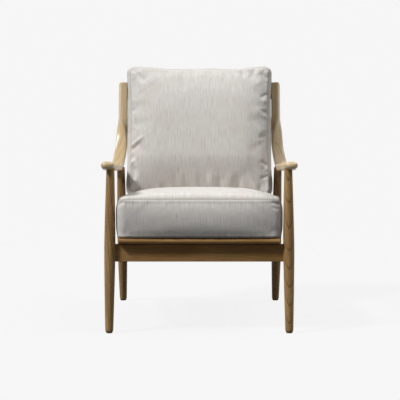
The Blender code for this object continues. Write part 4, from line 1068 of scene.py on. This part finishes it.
def fill_cover(points, faces, pinned, sewn):
    """Simulate a cover for a few frames, and give each point's slow movement and its wrinkle."""
    mesh = mesh_of("cover", points, faces)
    cover = bpy.data.objects.new("cover", mesh)
    bpy.context.scene.collection.objects.link(cover)
    for name, chosen in (("pinned", pinned), ("sewn", sewn)):
        group = cover.vertex_groups.new(name=name)
        group.add(np.flatnonzero(chosen).tolist(), 1.0, "REPLACE")
    settings = cover.modifiers.new("filling", "CLOTH").settings
    for name, value in COVER_CLOTH.items():
        setattr(settings, name, value)
    settings.effector_weights.gravity = 0.0
    for number in range(1, SIMULATION_FRAMES + 1):
        bpy.context.scene.frame_set(number)
    filled = mesh_points(cover.evaluated_get(bpy.context.evaluated_depsgraph_get()).data)
    bpy.context.scene.frame_set(1)
    bpy.data.objects.remove(cover, do_unlink=True)
    bpy.data.meshes.remove(mesh)
    moved = filled - points
    slow = neighbour_mean(moved, faces, SLOW_ROUNDS)
    for title, part in (("moved", moved), ("wrinkled", moved - slow)):
        length = np.percentile(np.linalg.norm(part, axis=1), 99)
        print("The cover %s by %.1f mm" % (title, 1000 * length))
    return limited(slow, SWELL_LIMIT), limited(moved - slow, WRINKLE_LIMIT)


# %% [markdown]
# A seam is a narrow valley with a plump edge beside it, and the cloth that is gathered into it
# makes short pinches across it. Longer creases lie where the photograph shows them. Each pinch or
# crease is one row of a table: where it is on its panel, its direction, length, width and height.
# A table of soft ridges is added to the surface, because a simulation fine enough to find such
# small folds by itself would take hours.

# %% Pinches and creases
PINCH_SPACING = (0.010, 0.030)
PINCH_LENGTH = (0.006, 0.018)
PINCH_WIDTH = (0.0026, 0.0046)
PINCH_DEPTH = (0.0004, 0.0028)
PINCH_FROM_SEAM = 0.8         # how far its middle lies from the seam, as a share of its length
PINCH_LEAN = 0.5              # in radians, as a standard deviation
CREASE_BATCHES = 8            # so that the arrays stay small


def crease_height(flat, rows):
    """The sum over all creases of height * exp(-(across / width)^2 - (along / length)^4)."""
    x, z, angle, length, width, height = np.array(rows).T
    total = np.zeros(len(flat))
    for part in np.array_split(np.arange(len(flat)), CREASE_BATCHES):
        dx, dz = flat[part, :1] - x, flat[part, 1:] - z
        along = dx * np.cos(angle) + dz * np.sin(angle)
        across = dz * np.cos(angle) - dx * np.sin(angle)
        bell = np.exp(-(across / width) ** 2 - (along / length) ** 4)
        total[part] = (height * bell).sum(axis=1)
    return total


def pinches(rng, low, high, run_across, gain):
    """Rows for pinches along the two seams of a panel that run in direction 0 or 1."""
    rows = []
    for seam in (low[run_across], high[run_across]):
        inward = 1.0 if seam == low[run_across] else -1.0
        at = low[1 - run_across] + rng.uniform(*PINCH_SPACING)
        while at < high[1 - run_across]:
            length = rng.uniform(*PINCH_LENGTH)
            centre = seam + inward * PINCH_FROM_SEAM * length
            lean = rng.normal(0.0, PINCH_LEAN)
            angle = lean if run_across == 0 else math.pi / 2 + lean
            place = (centre, at) if run_across == 0 else (at, centre)
            depth = gain * rng.uniform(*PINCH_DEPTH)
            rows.append((*place, angle, length, rng.uniform(*PINCH_WIDTH), -depth))
            at += rng.uniform(*PINCH_SPACING)
    return rows


print("Pinches are up to %.1f mm deep" % (1000 * PINCH_DEPTH[1]))

# %% [markdown]
# Two things move the surface of a cushion: the wrinkles of the filled cover, and the relief of its
# seams, pinches and creases. Both work on all points at once, and both fade with the distance from
# the nearest seam, because cloth is gathered there and pulled smooth farther in.

# %% Wrinkles and relief
WRINKLES_AT_SEAM, WRINKLES_INSIDE, WRINKLE_REACH = 1.0, 0.30, 0.090
WRINKLE_ROUNDS = 10
WRINKLE_FROM, WRINKLE_FULL = -0.004, 0.010
RELIEF_FULL = 0.006
SEAM_VALLEY, SEAM_VALLEY_WIDTH = 0.0026, 0.0032
SEAM_PLUMP, SEAM_PLUMP_AT, SEAM_PLUMP_WIDTH = 0.0011, 0.0095, 0.0050


def lies_on_frame(cushion, place):
    """Which places are on the side that rests on the webbing or the slats."""
    return place[:, cushion["panel"]] == cushion["resting_end"]


def wrinkles(cushion, place, faces, seam):
    """How far the filled cover moves each point. Its wrinkles are strongest near a seam."""
    coarse, panel = cushion["coarse"], cushion["panel"]
    coarse_place, coarse_faces = lattice_shell(coarse)
    ends = np.isclose(np.abs(coarse_place), 1.0)
    swell, wrinkle = fill_cover(
        cushion["shape"](coarse_place) @ cushion["axes"] + cushion["origin"], coarse_faces,
        lies_on_frame(cushion, coarse_place), ends[:, panel] & (ends.sum(axis=1) >= 2),
    )
    inner = smooth_step(seam, 0.0, WRINKLE_REACH)[:, None]
    amount = WRINKLES_AT_SEAM + (WRINKLES_INSIDE - WRINKLES_AT_SEAM) * inner
    amount = cushion["gain"] * amount
    moved = sample_lattice(swell, coarse, place) + amount * sample_lattice(wrinkle, coarse, place)
    moved = neighbour_mean(moved, faces, WRINKLE_ROUNDS)
    moved = moved * smooth_step(seam, WRINKLE_FROM, WRINKLE_FULL)[:, None]
    return np.where(lies_on_frame(cushion, place)[:, None], 0.0, moved)


def relief(cushion, place, rest, seam):
    """The height of pinches and creases, minus the seam's valley, plus the plump edge beside it."""
    rng = np.random.default_rng(cushion["seed"])
    low, high = rest.min(axis=0), rest.max(axis=0)
    height = np.zeros(len(place))
    for axis in range(3):
        first, second = [other for other in range(3) if other != axis]
        for end in (-1.0, 1.0):
            here = np.isclose(place[:, axis], end) & (seam > 0.0)
            box = (low[[first, second]], high[[first, second]])
            rows = []
            for run_across, other in ((0, first), (1, second)):
                if cushion["panel"] in (axis, other):
                    rows += pinches(rng, *box, run_across, cushion["gain"])
            rows += cushion["creases"].get((axis, end), [])
            height[here] = crease_height(rest[here][:, [first, second]], rows)
    height *= smooth_step(seam, 0.0, RELIEF_FULL)
    height -= SEAM_VALLEY * np.exp(-(seam / SEAM_VALLEY_WIDTH) ** 2)
    height += SEAM_PLUMP * np.exp(-((seam - SEAM_PLUMP_AT) / SEAM_PLUMP_WIDTH) ** 2)
    resting = lies_on_frame(cushion, place)
    height[resting] = np.minimum(height[resting], 0.0)
    return height


print("A seam lies %.1f mm deep" % (1000 * SEAM_VALLEY))

# %% [markdown]
# The cloth is cut flat, so each face's map is simply the two measures of its panel in metres, with
# no stretch. Sewing a cushion then goes as on the bench: shape the panels, fill the cover, press in
# its seams and creases, and lay the cloth's pattern on it.

# %% Sewing a cushion
def lay_cloth(mesh, place, rest):
    """The cloth's map: each face takes the two flat measures of the panel it lies on, in metres."""
    loops = np.zeros(len(mesh.loops), np.int32)
    mesh.loops.foreach_get("vertex_index", loops)
    corners = np.isclose(np.abs(place[loops]), 1.0).reshape(-1, 4, 3).all(axis=1)
    facing = np.repeat(np.argmax(corners, axis=1), 4)[:, None]
    x, y, z = rest[loops].T
    laid = np.where(facing == 0, np.stack((y, z), -1),
                    np.where(facing == 1, np.stack((x, z), -1), np.stack((x, y), -1)))
    layer = mesh.uv_layers.new(name="cloth")
    layer.data.foreach_set("uv", laid.astype(np.float32).ravel())


def sew(name, cushion):
    """A finished cushion. Both seams run round its panel, where two of its sides meet."""
    place, faces = lattice_shell(cushion["counts"])
    panel = cushion["panel"]
    rest = cushion["shape"](place)
    points = rest @ cushion["axes"] + cushion["origin"]
    half = (rest.max(axis=0) - rest.min(axis=0)) / 2
    inside = (1.0 - np.abs(place)) * half
    seam = np.maximum(inside[:, panel], np.delete(inside, panel, axis=1).min(axis=1))
    points = points + wrinkles(cushion, place, faces, seam)
    made = bpy.data.objects.new(name, mesh_of(name, points, faces))
    bpy.context.scene.collection.objects.link(made)
    face_outwards(made)
    normals = np.zeros(len(points) * 3, np.float32)
    made.data.vertex_normals.foreach_get("vector", normals)
    height = relief(cushion, place, rest, seam)[:, None]
    points = mesh_points(made.data) + normals.reshape(-1, 3) * height
    made.data.vertices.foreach_set("co", points.astype(np.float32).ravel())
    store = made.data.attributes.new("seam", "FLOAT", "POINT")
    store.data.foreach_set("value", seam.astype(np.float32))
    lay_cloth(made.data, place, rest)
    made.data.shade_smooth()
    made.data.materials.append(linen)
    return made


print("Covers are", "filled by simulation")

# %% [markdown]
# The creases of the back cushion are where it is bent round the arms, low on the left, and where
# the seat pushes it up. The seat cushion has only a few dents at its front corners. A cushion is
# then described by one table, with the size of its lattice, the coarse one for the cloth, its shape
# and place, the direction its panels face, and the side it rests on.

# %% The two cushions
# Each row: across, up, direction, half length, width, height, in metres and radians.
BACK_CREASES = [
    # the left side, bent round the arm
    (-0.2440, 0.2040, 0.63, 0.034, 0.0075, 0.0055), (-0.2500, 0.1860, 0.63, 0.026, 0.0090, -0.0045),
    (-0.2630, 0.1480, 0.20, 0.014, 0.0110, -0.0060), (-0.2630, 0.1253, 0.76, 0.018, 0.0065, 0.0050),
    (-0.2560, 0.0860, 1.45, 0.026, 0.0130, -0.0060), (-0.2600, 0.0460, 0.81, 0.024, 0.0065, 0.0055),
    # the foot, pushed up by the seat
    (0.0216, 0.0400, 1.45, 0.036, 0.0140, -0.0025), (0.0500, 0.0480, 1.75, 0.040, 0.0120, 0.0024),
    (0.0786, 0.0380, 1.60, 0.036, 0.0130, -0.0028), (0.1130, 0.0450, 1.30, 0.040, 0.0140, 0.0021),
    (0.1545, 0.0360, 1.85, 0.036, 0.0120, -0.0025), (-0.0900, 0.0400, 1.75, 0.040, 0.0150, -0.0021),
    (-0.1500, 0.0420, 1.40, 0.036, 0.0130, 0.0021), (0.2100, 0.0500, 2.10, 0.040, 0.0110, 0.0028),
    # the right seam, then the left
    (0.2480, 0.2282, 0.45, 0.018, 0.0090, -0.0028), (0.2530, 0.3278, -0.35, 0.018, 0.0080, -0.0026),
    (0.2500, 0.3911, 0.60, 0.020, 0.0080, -0.0030), (0.2560, 0.4720, -0.70, 0.022, 0.0090, -0.0035),
    (0.2500, 0.1236, -0.45, 0.020, 0.0080, -0.0028), (0.2500, 0.0730, 0.35, 0.020, 0.0080, -0.0028),
    (-0.2600, 0.3316, 0.50, 0.016, 0.0070, -0.0024),
    (-0.2600, 0.2568, -0.40, 0.016, 0.0070, -0.0024),
    # the top edge and its corners
    (-0.2300, 0.4700, -0.90, 0.030, 0.0090, -0.0030),
    (0.2100, 0.4850, 1.10, 0.030, 0.0090, -0.0035),
    (0.1700, 0.4900, 1.50, 0.024, 0.0090, -0.0040), (-0.0300, 0.4950, 1.60, 0.024, 0.0110, -0.0025),
]
SEAT_FRONT_CREASES = [
    (-0.2800, 0.1420, 0.60, 0.016, 0.0070, -0.0036),
    (0.2700, 0.1420, -0.50, 0.016, 0.0070, -0.0034),
    (0.2700, 0.1250, -0.20, 0.016, 0.0070, -0.0020),
    (-0.2750, 0.0400, -0.50, 0.018, 0.0100, -0.0012),
    (0.2650, 0.0450, 0.50, 0.018, 0.0100, -0.0012),
]
FRONT_FACE = (1, -1.0)
SEAT = {
    "counts": (184, 164, 40), "coarse": (46, 41, 10), "shape": seat_shape, "axes": SEAT_AXES,
    "origin": SEAT_ORIGIN, "panel": 2, "resting_end": -1.0, "gain": 0.30, "seed": 11,
    "creases": {FRONT_FACE: SEAT_FRONT_CREASES},
}
BACK = {
    "counts": (192, 36, 172), "coarse": (48, 9, 43), "shape": back_shape, "axes": BACK_AXES,
    "origin": BACK_ORIGIN, "panel": 1, "resting_end": 1.0, "gain": 0.70, "seed": 23,
    "creases": {FRONT_FACE: BACK_CREASES},
}

for body, cushion in (("seat_cushion", SEAT), ("back_cushion", BACK)):
    piece = sew("linen_" + body, cushion)
    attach(piece, body)
    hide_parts(body)
    print(piece.name, "has", len(piece.data.polygons), "faces")


# %% [markdown]
# The webbing, screws and glides are seen only from below or behind. They keep their solids and get
# the finish of what they are. Elastic webbing is rubber thread in a black weave, ribbed and dull.
# Zinc plate is bright but never a mirror, because it is mottled by its bath, so its roughness
# changes from spot to spot. Pressed felt is a mat of brown hair with no direction.

# %% Webbing, screws and felt
RIB_SCALE = 120.0            # bands of a wave lie 2 pi / (20 x scale) apart: 2.6 mm
MOTTLES_PER_METRE = 700.0    # 1.4 mm from spot to spot
TUFTS_PER_METRE = 1500.0     # 0.7 mm from tuft to tuft

webbing, tree, shader = new_finish("black_elastic_webbing")
coords = add_node(tree, "TexCoord").outputs["Object"]
ribs = add_node(tree, "TexWave", {
    "Vector": coords, "Scale": RIB_SCALE, "Distortion": 0.4,
}, wave_type="BANDS", bands_direction="X")
tone = add_node(tree, "Mix", {
    0: ribs.outputs["Fac"], 6: linear("#141414"), 7: linear("#2E2D2B"),
}, data_type="RGBA")
tree.links.new(tone.outputs[2], shader.inputs["Base Color"])
bump = add_node(tree, "Bump", {"Height": ribs.outputs["Fac"], "Strength": 0.5, "Distance": 0.0005})
tree.links.new(bump.outputs[0], shader.inputs["Normal"])
shader.inputs["Roughness"].default_value = 0.75

zinc, tree, shader = new_finish("bright_zinc_plate")
coords = add_node(tree, "TexCoord").outputs["Object"]
mottle = add_node(tree, "TexNoise", {"Vector": coords, "Scale": MOTTLES_PER_METRE, "Detail": 2.0})
rough = add_node(tree, "MapRange", {
    "Value": mottle.outputs["Fac"], "To Min": 0.22, "To Max": 0.45,
})
tree.links.new(rough.outputs[0], shader.inputs["Roughness"])
shader.inputs["Base Color"].default_value = linear("#C9CBC8")
shader.inputs["Metallic"].default_value = 1.0

felt, tree, shader = new_finish("brown_pressed_felt")
coords = add_node(tree, "TexCoord").outputs["Object"]
fluff = add_node(tree, "TexNoise", {"Vector": coords, "Scale": TUFTS_PER_METRE, "Detail": 4.0})
tone = add_node(tree, "Mix", {
    0: fluff.outputs["Fac"], 6: linear("#4A3E33"), 7: linear("#7A6B5A"),
}, data_type="RGBA")
tree.links.new(tone.outputs[2], shader.inputs["Base Color"])
bump = add_node(tree, "Bump", {"Height": fluff.outputs["Fac"], "Strength": 0.8, "Distance": 0.0006})
tree.links.new(bump.outputs[0], shader.inputs["Normal"])
shader.inputs["Roughness"].default_value = 0.95

SMALL_PIECES = {"seat_web": webbing, "seat_frame_screw": zinc, "foot_glide": felt}
for name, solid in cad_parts.items():
    for start, finish in SMALL_PIECES.items():
        if name.startswith(start):
            dress(solid, finish)
print("Webbing, screws and glides are finished")
